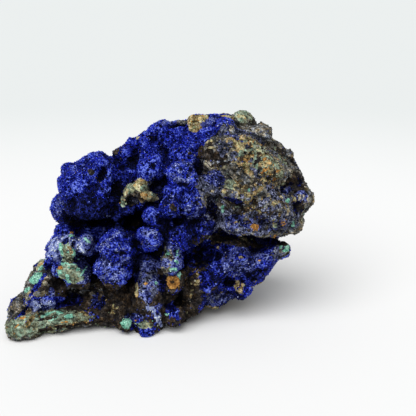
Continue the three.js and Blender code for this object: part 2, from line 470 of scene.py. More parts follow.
@dataclass(frozen=True)
class Patch:
    """A patch of one mineral that the front view shows, as an oval about a pixel.

    half is the oval's half width and half height in pixels and turn its turn in degrees. share is how much
    of the patch the mineral takes, and lift how far the patch stands out, in millimetres.
    """

    name: str
    mineral: Mineral
    pixel: Pixel
    half: Pixel
    turn: float = 0
    share: float = 1
    lift: float = 0


@dataclass(frozen=True)
class Spot:
    """A round patch of one mineral on a side that the front view doesn't show, in millimetres."""

    name: str
    mineral: Mineral
    place: tuple[float, float, float]
    radius: float
    share: float = 1


# Near-black blue patches and dark patches named shade, gap, cavity or underside are painted shade; the head
# edge and front lobe rim are painted highlights
BASE_PATCHES = (
    Patch("toe ground", Mineral.MATRIX, (46, 324), (60, 16), 8),
    Patch("slope ground", Mineral.MATRIX, (34, 290), (26, 24), 50),
    Patch("recess ground", Mineral.SOOT_AND_PAINTED_SHADE, (108, 300), (52, 24)),
    Patch("boss ground", Mineral.MATRIX, (262, 178), (62, 66)),
    Patch("column ground", Mineral.SOOT_AND_PAINTED_SHADE, (160, 300), (24, 34), 0, 0.6),
)

HEAD_PATCHES = (
    Patch("head shade", Mineral.PAINTED_SHADE_AND_DARK_BLUE, (96, 201), (46, 16), 12, 0.5),
    Patch("head low shade", Mineral.PAINTED_SHADE_AND_DARK_BLUE, (92, 210), (44, 13), 8, 0.75),
    Patch("head underside", Mineral.PAINTED_SHADE_AND_DARK_BLUE, (92, 219), (42, 9)),
    Patch("head slot", Mineral.PAINTED_SHADE_AND_DARK_BLUE, (104, 173), (9, 3), 66, 1, -2.0),
    Patch("head slot brown", Mineral.SOOT_AND_PAINTED_SHADE, (103, 177), (6, 3), 62, 0.35),
    Patch("head speck", Mineral.SOOT_AND_PAINTED_SHADE, (91, 172), (3, 2.4), -30, 0.7, -0.8),
    Patch("head gap", Mineral.PAINTED_SHADE_AND_DARK_BLUE, (118, 192), (5, 12), 0, 1, -1.0),
    # Painted highlight along the lit rim of the head
    Patch("head edge", Mineral.DUSTY_AND_PAINTED_HIGHLIGHT, (57, 208), (6, 14), -15, 0.5),
    Patch("head brow", Mineral.DUSTY_AND_PAINTED_HIGHLIGHT, (84, 163), (22, 7), 20, 0.2),
    Patch("head foot", Mineral.SOOT_AND_PAINTED_SHADE, (56, 221), (5, 3), -30, 0.6),
    Patch("crest gap", Mineral.PAINTED_SHADE_AND_DARK_BLUE, (133, 163), (7, 8), 0, 1, -1.5),
    Patch("crest spur", Mineral.SOOT_AND_PAINTED_SHADE, (115, 151), (3, 4)),
    Patch("crest fleck", Mineral.TAN, (138, 137), (5, 2.2), 40, 0.7),
    Patch("crest dust", Mineral.DUSTY_AND_PAINTED_HIGHLIGHT, (166, 121), (12, 5), 5, 0.6),
    Patch("crest hollow", Mineral.PAINTED_SHADE_AND_DARK_BLUE, (179, 124), (9, 3), 10, 1, -1.0),
    Patch("crest stone", Mineral.MATRIX, (182, 122), (6, 2.6), 15, 0.7),
    Patch("left ball pit", Mineral.PAINTED_SHADE_AND_DARK_BLUE, (152, 166), (2.6, 2.4), 0, 1, -1.6),
    Patch("right ball dust", Mineral.DUSTY_AND_PAINTED_HIGHLIGHT, (183, 172), (15, 14), 0, 0.5),
    Patch("right ball pit", Mineral.PAINTED_SHADE_AND_DARK_BLUE, (190, 170), (2.8, 2.2), 0, 1, -1.6),
    Patch("lower ball pits", Mineral.PAINTED_SHADE_AND_DARK_BLUE, (182, 185), (6, 3), -10, 0.6, -1.0),
    Patch("gap by the boss", Mineral.PAINTED_SHADE_AND_DARK_BLUE, (199, 166), (4, 12), 0, 0.9, -0.8),
)

NUB_PATCHES = (
    Patch("nub ground", Mineral.MATRIX, (138, 192), (16, 12), -15, 0.9),
    Patch("nub ground shade", Mineral.SOOT_AND_PAINTED_SHADE, (138, 195), (14, 9), -15, 0.4),
    Patch("nub slate", Mineral.SLATE, (149, 183), (5, 8), -20, 0.8),
    Patch("nub left", Mineral.SAGE, (131, 187), (8, 5), 45, 1, 0.4),
    Patch("nub top", Mineral.TAN, (140, 184), (7, 7), -20, 1, 0.8),
    Patch("nub brow", Mineral.SAGE, (145, 189), (4.4, 3.4), -30, 1, 0.4),
    Patch("nub right", Mineral.TAN, (150.5, 196.5), (10, 6), -20, 1, 0.5),
    Patch("nub right green", Mineral.SAGE, (153, 195), (3, 3), 0, 0.6),
    Patch("nub foot", Mineral.DUSTY_AND_PAINTED_HIGHLIGHT, (151, 205), (10, 3), 0, 0.8),
    Patch("nub socket", Mineral.SOOT_AND_PAINTED_SHADE, (133, 199.5), (8, 6), 0, 0.8, -0.8),
    Patch("nub socket stone", Mineral.SLATE, (135, 198), (8, 6), 0, 0.7),
    Patch("nub edge", Mineral.TAN, (124.5, 194.5), (7, 1.8), 52, 0.9),
    Patch("nub rim", Mineral.SAGE, (122.5, 202), (2, 5), 12),
    Patch("nub eye", Mineral.EARTH, (141, 184.5), (2, 1.6)),
    Patch("nub chip", Mineral.RUST, (146.5, 194.5), (1.8, 1.8)),
    Patch("nub dust", Mineral.DUSTY_AND_PAINTED_HIGHLIGHT, (162, 189), (9, 9), -30, 0.85),
    Patch("nub dust light", Mineral.CHALK, (163, 190), (7, 7), 0, 0.25),
    Patch("lobe pit", Mineral.SOOT_AND_PAINTED_SHADE, (173.5, 207.5), (4, 3.6), 0, 0.6, -1.0),
)

CENTRE_PATCHES = (
    Patch("centre dust", Mineral.DUSTY_AND_PAINTED_HIGHLIGHT, (199, 212), (16, 18), 0, 0.5),
    Patch("lobe above the ball", Mineral.DUSTY_AND_PAINTED_HIGHLIGHT, (167, 201), (9, 9), 0, 0.5),
    Patch("centre depth", Mineral.PAINTED_SHADE_AND_DARK_BLUE, (184, 214), (34, 26), 0, 0.32),
    Patch("centre shade", Mineral.PAINTED_SHADE_AND_DARK_BLUE, (170, 226), (16, 11), 0, 0.6),
    Patch("gap left of the wedge", Mineral.PAINTED_SHADE_AND_DARK_BLUE, (190, 236), (5, 14), 0, 0.8),
    Patch("cavity", Mineral.PAINTED_SHADE_AND_DARK_BLUE, (129, 222), (14, 9), 0, 1, -1.0),
    Patch("cavity brown", Mineral.SOOT_AND_PAINTED_SHADE, (136, 218), (9, 8), 0, 0.4),
    Patch("cavity left", Mineral.PAINTED_SHADE_AND_DARK_BLUE, (86, 222), (18, 6)),
    Patch("cavity left brown", Mineral.SOOT_AND_PAINTED_SHADE, (72, 219), (8, 4), 0, 0.4),
    Patch("cavity middle", Mineral.AZURITE, (106, 224), (12, 9), 0, 0.7, 1.0),
    Patch("cavity lump", Mineral.AZURITE, (117, 214), (4.5, 5), 0, 0.5, 0.5),
    Patch("cavity wall", Mineral.PAINTED_SHADE_AND_DARK_BLUE, (119, 222), (11, 8), 0, 0.9),
    Patch("white specks", Mineral.CHALK, (103.5, 227), (1.2, 3), 0, 0.6),
    Patch("white speck", Mineral.CHALK, (108, 216), (1.6, 1), 0, 0.5),
    Patch("front lobe dust", Mineral.DUSTY_AND_PAINTED_HIGHLIGHT, (112, 262), (18, 20), 0, 0.5),
    # Painted highlight along the lit rim of the front lobe
    Patch("front lobe rim", Mineral.DUSTY_AND_PAINTED_HIGHLIGHT, (111, 238), (15, 3), 38, 0.9),
    Patch("front lobe fold", Mineral.PAINTED_SHADE_AND_DARK_BLUE, (116, 255), (15, 2.2), 18, 0.6, -0.6),
    Patch("front lobe flank", Mineral.PAINTED_SHADE_AND_DARK_BLUE, (137, 262), (6, 18), 0, 0.4),
    Patch("front lobe shoulder", Mineral.PAINTED_SHADE_AND_DARK_BLUE, (125, 233), (5, 5), 30, 0.6),
    Patch("gap left of the lobe", Mineral.PAINTED_SHADE_AND_DARK_BLUE, (91, 264), (7, 30)),
    Patch("hanging ball dust", Mineral.DUSTY_AND_PAINTED_HIGHLIGHT, (148, 240), (11, 12), 0, 0.4),
    Patch("gap by the ball", Mineral.PAINTED_SHADE_AND_DARK_BLUE, (136, 252), (5, 13), 0, 0.5),
    Patch("gap under the ball", Mineral.DUSTY_AND_PAINTED_HIGHLIGHT, (148, 262), (12, 8), 0, 0.5, 0.8),
    Patch("shade by the ball", Mineral.PAINTED_SHADE_AND_DARK_BLUE, (165, 236), (5, 13), 0, 0.7),
)

COLUMN_PATCHES = (
    Patch("ring lobe", Mineral.DUSTY_AND_PAINTED_HIGHLIGHT, (172, 260), (12, 20), 0, 0.85),
    Patch("ring lobe stone", Mineral.MATRIX, (166, 260), (7, 18), 0, 0.5),
    Patch("ring eye", Mineral.SOOT_AND_PAINTED_SHADE, (172, 258), (3.4, 3.4), 0, 0.6, -0.6),
    Patch("ring bead left", Mineral.MALACHITE, (167.5, 254), (1.5, 1.5)),
    Patch("ring bead right", Mineral.MALACHITE, (177.5, 253), (1.7, 3)),
    Patch("ring bead low", Mineral.MALACHITE, (176.5, 261.5), (2, 1.5)),
    Patch("ring foot", Mineral.MALACHITE, (174, 269.5), (5.4, 1.5), 8),
    Patch("ring side", Mineral.MALACHITE, (179.5, 276), (1.4, 4)),
    Patch("rust pit", Mineral.RUST, (173, 282), (6.4, 6), 0, 1, -1.0),
    Patch("rust pit eye", Mineral.SOOT_AND_PAINTED_SHADE, (173, 282.5), (2, 1.6)),
    Patch("gap by the pit", Mineral.PAINTED_SHADE_AND_DARK_BLUE, (161, 284), (5, 9), 0, 0.9),
    Patch("column", Mineral.DUSTY_AND_PAINTED_HIGHLIGHT, (147, 284), (12, 18)),
    Patch("column slate", Mineral.SLATE, (147, 286), (12, 18), 0, 0.5),
    Patch("column light", Mineral.CHALK, (148, 286), (7, 12), 0, 0.12),
    Patch("column streak", Mineral.TAN, (136.5, 289), (2.2, 9), 0, 0.8),
    Patch("column fleck", Mineral.RUST, (145.5, 283.5), (1.8, 1.8)),
    Patch("column spot", Mineral.MALACHITE, (156, 283), (1.3, 1.8)),
    Patch("column olive", Mineral.EARTH, (165, 296), (4.5, 5), 0, 0.45),
    Patch("column foot", Mineral.DUSTY_AND_PAINTED_HIGHLIGHT, (132, 316), (13, 4), 0, 0.8),
    Patch("column brown", Mineral.SOOT_AND_PAINTED_SHADE, (136, 304), (8, 6), 0, 0.7),
    Patch("column low", Mineral.DUSTY_AND_PAINTED_HIGHLIGHT, (152, 308), (10, 10), 0, 0.6),
    Patch("chalk crystals", Mineral.CHALK, (155.5, 315), (18, 5), -58, 0.55),
    Patch("green plate", Mineral.SAGE, (144, 325), (13, 5)),
    Patch("green plate edge", Mineral.MALACHITE, (149, 321), (5, 1.8), 0, 0.7),
    Patch("green nodule", Mineral.MALACHITE, (126, 322.5), (6, 4.6), 0, 1, 0.7),
    Patch("orange foot", Mineral.RUST, (136, 321.5), (2.6, 1.4), -20, 0.8),
    Patch("blue ball", Mineral.AZURITE, (174, 309), (9, 9)),
    Patch("ball shade", Mineral.SOOT_AND_PAINTED_SHADE, (165, 319), (4, 6), 0, 0.7),
    Patch("ball fleck", Mineral.MALACHITE, (166.5, 314.5), (1.4, 1.6)),
    Patch("brown gap", Mineral.SOOT_AND_PAINTED_SHADE, (190, 288), (10, 24), 0, 0.9),
    Patch("brown foot", Mineral.SOOT_AND_PAINTED_SHADE, (188, 306), (15, 13), 30, 0.9),
    Patch("brown foot stone", Mineral.EARTH, (188, 304), (12, 11), 30, 0.22),
    Patch("brown gap stone", Mineral.EARTH, (192, 280), (9, 18), 0, 0.2),
)

RECESS_PATCHES = (
    Patch("recess", Mineral.SOOT_AND_PAINTED_SHADE, (96, 291), (38, 10), 0, 1, -0.6),
    Patch("recess stone", Mineral.MATRIX, (92, 290), (26, 7), 0, 0.35),
    Patch("recess low", Mineral.SOOT_AND_PAINTED_SHADE, (112, 308), (15, 18), 0, 0.95),
    Patch("recess low stone", Mineral.EARTH, (114, 304), (12, 16), 0, 0.2),
    Patch("recess lump", Mineral.PAINTED_SHADE_AND_DARK_BLUE, (98, 301), (8, 9), 0, 0.7),
    Patch("recess dust", Mineral.DUSTY_AND_PAINTED_HIGHLIGHT, (97, 300), (7, 9), 0, 0.45),
    Patch("sill blue", Mineral.AZURITE, (90, 314), (8, 10), 0, 0.6),
)

LEFT_PATCHES = (
    Patch("left lobe", Mineral.DUSTY_AND_PAINTED_HIGHLIGHT, (68, 249), (24, 17), 0, 0.95),
    Patch("left lobe light", Mineral.CHALK, (66, 249), (23, 16), 0, 0.56),
    Patch("left lobe low", Mineral.DUSTY_AND_PAINTED_HIGHLIGHT, (82, 268), (10, 16), 0, 0.85),
    Patch("right knob", Mineral.DUSTY_AND_PAINTED_HIGHLIGHT, (88, 241), (8.4, 9), 0, 1, 0.6),
    Patch("knob light", Mineral.CHALK, (88, 243), (7, 8), 0, 0.28),
    Patch("knob fleck", Mineral.MALACHITE, (86.5, 240), (4.4, 1.7), -42),
    Patch("knob side", Mineral.MATRIX, (79.5, 247), (3, 5), 0, 0.7),
    Patch("plate top", Mineral.SAGE, (66.5, 255), (7, 12.5), 12, 1, 0.4),
    Patch("plate", Mineral.SAGE, (71, 272.5), (13.5, 9.5), -25, 1, 0.5),
    Patch("plate mint", Mineral.MALACHITE, (70, 266), (14, 16), -15, 0.34),
    Patch("plate left edge", Mineral.MALACHITE, (60.6, 250), (1.2, 6), 8, 0.9),
    Patch("plate right edge", Mineral.MALACHITE, (82.6, 272.5), (8, 1.3), 66),
    Patch("plate low edge", Mineral.MALACHITE, (68, 280), (1.4, 5), 12),
    Patch("plate notch", Mineral.MALACHITE, (73.6, 253), (1.2, 5.4), 14, 0.9),
    Patch("plate tan", Mineral.TAN, (71, 251), (1.6, 4), 20, 0.8),
    Patch("left hole", Mineral.PAINTED_SHADE_AND_DARK_BLUE, (65, 240.5), (3.6, 2.6), 0, 1, -1.8),
    Patch("right lobe hole", Mineral.PAINTED_SHADE_AND_DARK_BLUE, (74, 244.5), (2, 4.6), 0, 1, -1.4),
    Patch("lobe top green", Mineral.MALACHITE, (71, 236), (3.4, 1.4), 0, 0.8),
    Patch("lobe top orange", Mineral.RUST, (72, 232.5), (1.8, 1.2), 0, 0.7),
    Patch("lobe hollow", Mineral.SOOT_AND_PAINTED_SHADE, (58, 281), (10, 10), 0, 0.9, -1.2),
    Patch("lobe hollow dust", Mineral.DUSTY_AND_PAINTED_HIGHLIGHT, (52, 272), (6, 8), 0, 0.4),
    Patch("lobe orange", Mineral.RUST, (60.5, 267.5), (2.6, 1.5), -15),
    Patch("slope", Mineral.SOOT_AND_PAINTED_SHADE, (44, 288), (12, 10), 30, 0.8),
    Patch("slope stone", Mineral.MATRIX, (42, 290), (11, 9), 30, 0.4),
    Patch("slope dust", Mineral.DUSTY_AND_PAINTED_HIGHLIGHT, (52, 293), (2.2, 6), 10, 0.9),
    Patch("slope band", Mineral.AZURITE, (38, 284), (13, 2.4), 56, 0.85),
    Patch("upper flake", Mineral.TAN, (40, 266), (3.4, 5), -25),
    Patch("upper flake green", Mineral.MALACHITE, (41, 268), (2.2, 3), -20, 0.8),
    Patch("green flake", Mineral.MALACHITE, (34.5, 277.5), (8.4, 4.6), 52, 1, 0.3),
    Patch("flake step", Mineral.SOOT_AND_PAINTED_SHADE, (28, 285), (4, 1.4), 20),
    Patch("lower flake", Mineral.MALACHITE, (27, 289.5), (4.6, 2), 35),
    Patch("lower flake foot", Mineral.TAN, (26, 296), (4, 1.6), 45, 0.7),
    Patch("slate lump", Mineral.MATRIX, (15, 307), (13, 7.5), 62),
    Patch("blue band", Mineral.AZURITE, (24, 313), (18, 2.6), 53),
    Patch("blue shelf", Mineral.AZURITE, (58, 302), (30, 6)),
    Patch("shelf shade", Mineral.PAINTED_SHADE_AND_DARK_BLUE, (74, 300), (18, 5), 0, 0.7),
    Patch("violet shelf", Mineral.DUSTY_AND_PAINTED_HIGHLIGHT, (41, 306), (13, 7)),
    Patch("violet shelf light", Mineral.CHALK, (41, 307), (13, 6), 0, 0.58),
)

TOE_PATCHES = (
    Patch("toe", Mineral.SAGE, (46, 323), (44, 11), 8),
    Patch("toe tip", Mineral.SAGE, (16, 332), (9, 9)),
    Patch("toe crest", Mineral.TAN, (29, 311), (3.6, 2.2), 40, 0.8),
    Patch("toe green", Mineral.MALACHITE, (52, 315), (11, 3.4), 8, 0.5),
    Patch("toe green end", Mineral.MALACHITE, (70, 316), (4.4, 2), 0, 0.8),
    Patch("toe olive", Mineral.EARTH, (82, 315), (6, 4), 0, 0.6),
    Patch("toe streak", Mineral.RUST, (21, 320), (11, 1.2), 58, 0.5),
    Patch("toe dark streak", Mineral.EARTH, (31, 320), (10, 1.8), 62, 0.8),
    Patch("toe crack", Mineral.SOOT_AND_PAINTED_SHADE, (45, 319), (9, 0.9), 10, 0.7),
    Patch("toe lip", Mineral.EARTH, (60, 327), (26, 2), 9, 0.6),
    Patch("toe brown", Mineral.RUST, (66, 322), (3, 1.4), 0, 0.4),
    Patch("toe shade", Mineral.SOOT_AND_PAINTED_SHADE, (58, 328), (32, 2), 7, 0.75),
)

BOSS_PATCHES = (
    Patch("boss top", Mineral.MATRIX, (258, 148), (48, 34)),
    Patch("boss face", Mineral.MATRIX, (259, 196), (54, 40)),
    Patch("boss edge", Mineral.MATRIX, (296, 190), (20, 54)),
    Patch("boss left", Mineral.MATRIX, (216, 152), (17, 18)),
    Patch("crown", Mineral.MATRIX, (244, 124), (22, 12)),
    Patch("tan lump", Mineral.EARTH, (199, 121), (14, 11)),
    Patch("tan lump light", Mineral.TAN, (200, 117), (14, 7), 0, 0.55),
    Patch("crown peak", Mineral.SAGE, (244, 117), (12, 7), 0, 0.7, 0.8),
    Patch("crown peak tan", Mineral.TAN, (233, 117), (15, 4), -4, 0.7),
    Patch("blue cap", Mineral.AZURITE, (209, 131), (22, 7), 55),
    Patch("blue cap end", Mineral.AZURITE, (224, 119), (14, 6), -10, 0.85),
    Patch("blue cap light", Mineral.DUSTY_AND_PAINTED_HIGHLIGHT, (211, 121), (12, 5), 40, 0.5),
    Patch("cap flecks", Mineral.DUSTY_AND_PAINTED_HIGHLIGHT, (234, 131), (18, 9), -20, 0.45),
    Patch("cap foot", Mineral.TAN, (212, 144), (7, 5), 0, 0.45),
    Patch("brown hollow", Mineral.SOOT_AND_PAINTED_SHADE, (211, 155), (13, 6), -8, 0.8),
    Patch("brown hollow line", Mineral.SOOT_AND_PAINTED_SHADE, (222, 164), (12, 1.8), 8, 0.9),
    Patch("brown hollow rim", Mineral.SOOT_AND_PAINTED_SHADE, (208, 155), (17, 12), 0, 0.45),
    Patch("boss rim shade", Mineral.SOOT_AND_PAINTED_SHADE, (284, 150), (28, 8), -52, 0.36),
    Patch("slate ridge", Mineral.SLATE, (230, 152), (14, 8), -35, 0.6),
    Patch("boss mottle", Mineral.EARTH, (260, 160), (38, 20), -38, 0.5),
    Patch("boss mottle slate", Mineral.SLATE, (248, 146), (36, 18), -30, 0.42),
    Patch("boss mottle tan", Mineral.TAN, (268, 160), (28, 12), -42, 0.36),
    Patch("boss mottle green", Mineral.SAGE, (256, 155), (26, 12), -35, 0.4),
    Patch("boss mottle dark", Mineral.SOOT_AND_PAINTED_SHADE, (262, 162), (36, 18), -38, 0.16),
    Patch("boss mottle side", Mineral.SAGE, (281, 158), (12, 3), -60, 0.55),
    Patch("boss mottle orange", Mineral.RUST, (264, 168), (26, 9), -35, 0.26),
    Patch("boss side slate", Mineral.SLATE, (291, 206), (18, 26), 0, 0.5),
    Patch("boss tan chip", Mineral.TAN, (241, 146), (3.6, 3.4)),
    Patch("boss tan block", Mineral.TAN, (267, 163), (4, 2.2), 10, 1, 0.4),
    Patch("green side", Mineral.SAGE, (281, 177), (2.6, 4.4), 0, 1, 0.3),
    Patch("green side low", Mineral.SAGE, (284, 184), (3, 2), 0, 0.8),
    Patch("slate streak", Mineral.SLATE, (262, 177), (19, 5), -36, 0.6),
    Patch("boss brown streak", Mineral.EARTH, (248, 197), (24, 7), -53, 0.6),
    Patch("boss brown", Mineral.EARTH, (268, 192), (20, 14), 0, 0.4),
    Patch("boss shade", Mineral.SOOT_AND_PAINTED_SHADE, (262, 196), (30, 20), 0, 0.25),
    Patch("boss slate", Mineral.SLATE, (262, 203), (40, 20), 0, 0.45),
    Patch("step slate", Mineral.SLATE, (212, 184), (14, 15), -20, 0.8),
    Patch("dusty step", Mineral.DUSTY_AND_PAINTED_HIGHLIGHT, (214, 179), (11, 9), -30, 0.75),
    Patch("green oval", Mineral.SAGE, (229.5, 186.5), (6.6, 7), 0, 1, 0.3),
    Patch("green oval side", Mineral.TAN, (237, 187), (5, 6), 0, 0.6),
    Patch("green oval foot", Mineral.TAN, (224, 191.5), (4, 2), -25, 0.8),
    Patch("scar", Mineral.MATRIX, (236, 210), (14, 10)),
    Patch("scar shade", Mineral.SOOT_AND_PAINTED_SHADE, (236, 211), (13, 9), 0, 0.5),
    Patch("scar blue", Mineral.PAINTED_SHADE_AND_DARK_BLUE, (236, 201.5), (11, 2.6), -15, 0.8),
    Patch("scar left line", Mineral.MALACHITE, (222.3, 209), (1.0, 6)),
    Patch("scar foot line", Mineral.MALACHITE, (229, 219), (5.4, 1.0), -20),
    Patch("scar spot", Mineral.SAGE, (237, 207), (2.6, 1.6), 0, 0.8),
    Patch("face line", Mineral.MALACHITE, (262.5, 209), (0.9, 3.6)),
    Patch("face bead", Mineral.MALACHITE, (249, 190), (1.6, 2.4), -20, 0.9),
    Patch("boss foot", Mineral.SLATE, (256, 223), (44, 13), 0, 0.72),
    Patch("boss foot dust", Mineral.DUSTY_AND_PAINTED_HIGHLIGHT, (250, 224), (36, 10), 0, 0.36),
    Patch("boss foot earth", Mineral.EARTH, (262, 212), (36, 16), 0, 0.2),
    Patch("boss foot shade", Mineral.SOOT_AND_PAINTED_SHADE, (252, 216), (40, 16), 0, 0.25),
    Patch("left foot slate", Mineral.SLATE, (216, 214), (14, 20), 0, 0.6),
    Patch("left foot blue", Mineral.PAINTED_SHADE_AND_DARK_BLUE, (209, 220), (10, 16), 0, 0.6),
    Patch("orange chip", Mineral.RUST, (255, 226.5), (4.4, 2.4), -16, 1, 0.5),
    Patch("right hole", Mineral.PAINTED_SHADE_AND_DARK_BLUE, (297, 183), (10, 10), 0, 0.8),
    Patch("right hole brown", Mineral.SOOT_AND_PAINTED_SHADE, (297, 182), (13, 12), 0, 0.65),
    Patch("right dust", Mineral.DUSTY_AND_PAINTED_HIGHLIGHT, (287, 191), (8, 4), -20, 0.7),
    Patch("right blue", Mineral.DUSTY_AND_PAINTED_HIGHLIGHT, (303, 196), (7, 7), 0, 0.6),
    Patch("right shade", Mineral.PAINTED_SHADE_AND_DARK_BLUE, (297, 209), (9, 8), 0, 0.6),
    Patch("right shade brown", Mineral.SOOT_AND_PAINTED_SHADE, (298, 209), (10, 9), 0, 0.5),
    Patch("upper green", Mineral.MALACHITE, (288, 200), (3.6, 2.2), 25),
    Patch("upper green end", Mineral.TAN, (294, 198), (1.2, 3), 25),
    Patch("lower green", Mineral.MALACHITE, (293, 224), (5.6, 1.4), -65),
    Patch("foot green", Mineral.SAGE, (274, 226), (4, 3), 0, 0.7),
    Patch("boss foot rust", Mineral.RUST, (284, 223), (4, 3), 0, 0.4),
)

WEDGE_PATCHES = (
    Patch("wedge shade", Mineral.PAINTED_SHADE_AND_DARK_BLUE, (216, 266), (30, 24), 0, 0.5),
    Patch("wedge foot", Mineral.PAINTED_SHADE_AND_DARK_BLUE, (224, 298), (26, 10), -12, 0.9),
    Patch("ledge line", Mineral.SOOT_AND_PAINTED_SHADE, (237, 242), (26, 4), -10, 0.95),
    Patch("ledge lip", Mineral.EARTH, (242, 238), (14, 1.8), -14, 0.7),
    Patch("ledge end", Mineral.SOOT_AND_PAINTED_SHADE, (256, 246), (10, 3), -5),
    Patch("wedge brown", Mineral.SOOT_AND_PAINTED_SHADE, (201, 241), (10, 5), 0, 0.9),
    Patch("wedge brown light", Mineral.EARTH, (203, 240), (8, 4), 0, 0.22),
    Patch("wedge ochre", Mineral.EARTH, (216, 244), (5, 5), 20, 0.34),
    Patch("wedge arm", Mineral.DUSTY_AND_PAINTED_HIGHLIGHT, (258, 257), (15, 7), 0, 0.75),
    Patch("wedge outer ring", Mineral.DUSTY_AND_PAINTED_HIGHLIGHT, (241, 264), (19, 16), -10, 0.75),
    Patch("wedge dark ring", Mineral.PAINTED_SHADE_AND_DARK_BLUE, (241, 262), (14.5, 11.5), -10, 0.75),
    Patch("wedge inner ring", Mineral.DUSTY_AND_PAINTED_HIGHLIGHT, (241, 260), (10.5, 7.5), -10, 0.85),
    Patch("wedge heart", Mineral.AZURITE, (241, 259), (6, 4.4), -10, 0.9),
    Patch("wedge arm shade", Mineral.PAINTED_SHADE_AND_DARK_BLUE, (257, 272), (13, 8), 15, 0.8),
    Patch("wedge dot", Mineral.EARTH, (241, 258), (2.6, 2), 0, 0.9),
    Patch("wedge eye", Mineral.PAINTED_SHADE_AND_DARK_BLUE, (229, 283), (5, 4), 0, 1, -1.4),
    Patch("wedge eye side", Mineral.EARTH, (237, 284), (3.4, 1.8), 0, 0.3),
    Patch("wedge lower slate", Mineral.SLATE, (216, 300), (20, 6), 4, 0.5),
    Patch("wedge lower dust", Mineral.DUSTY_AND_PAINTED_HIGHLIGHT, (216, 300), (18, 5), 4, 0.5),
    Patch("wedge end", Mineral.SLATE, (279, 253), (11, 9), 0, 0.75),
    Patch("wedge end stone", Mineral.MATRIX, (283, 252), (7, 7), 0, 0.5),
    Patch("tip green", Mineral.MALACHITE, (285, 247), (4.6, 5), 0, 0.7),
    Patch("tip shade", Mineral.SOOT_AND_PAINTED_SHADE, (285, 243), (5, 2)),
    Patch("chalk spot", Mineral.CHALK, (261, 242), (4, 5.6), 0, 0.7),
    Patch("orange streak", Mineral.RUST, (275, 237), (9, 1.5), -62, 0.5),
    Patch("orange dot", Mineral.RUST, (259, 260.5), (1.8, 1.7)),
    Patch("crown shoulder", Mineral.MATRIX, (262, 131), (13, 8), -38, 0.3, 1.6),
)

PATCHES = (
    *BASE_PATCHES, *HEAD_PATCHES, *CENTRE_PATCHES, *NUB_PATCHES, *COLUMN_PATCHES, *RECESS_PATCHES,
    *LEFT_PATCHES, *TOE_PATCHES, *BOSS_PATCHES, *WEDGE_PATCHES,
)

SPOTS = (
    Spot("crown top", Mineral.MATRIX, (31, 9, 70), 11),
    Spot("crown sage", Mineral.SAGE, (30, 5, 74), 6, 0.8),
    Spot("back boss", Mineral.MATRIX, (34, 22, 48), 26),
    Spot("back ledges", Mineral.EARTH, (8, 27, 36), 19, 0.7),
    Spot("back foot", Mineral.MATRIX, (14, 25, 16), 17),
    Spot("back hollow", Mineral.SOOT_AND_PAINTED_SHADE, (0, 26, 22), 8, 0.8),
    Spot("back seam", Mineral.RUST, (20, 27, 42), 6, 0.45),
    Spot("back green", Mineral.MALACHITE, (26, 26, 30), 8, 0.4),
    Spot("back green bead", Mineral.MALACHITE, (-8, 24, 16), 6, 0.55),
    Spot("back sage", Mineral.SAGE, (-26, 20, 8), 13, 0.6),
    Spot("back crest", Mineral.DUSTY_AND_PAINTED_HIGHLIGHT, (2, 24, 58), 12, 0.8),
    Spot("back slate", Mineral.SLATE, (30, 26, 50), 20, 0.45),
    Spot("right side", Mineral.MATRIX, (52, 8, 40), 20),
    Spot("right slate", Mineral.SLATE, (54, 6, 46), 18, 0.45),
    Spot("right seam", Mineral.EARTH, (50, 12, 50), 12, 0.8),
    Spot("right green", Mineral.MALACHITE, (50, 14, 36), 6, 0.45),
    Spot("wedge back", Mineral.DUSTY_AND_PAINTED_HIGHLIGHT, (38, 12, 24), 14, 0.7),
    # Painted shade under the specimen
    Spot("underside", Mineral.SOOT_AND_PAINTED_SHADE, (0, 0, 0), 24, 0.85),
    Spot("underside right", Mineral.EARTH, (24, 6, 8), 13, 0.8),
    Spot("underside left", Mineral.SAGE, (-36, -10, 0), 20, 0.65),
    Spot("left back", Mineral.SAGE, (-46, 0, 12), 11, 0.55),
)


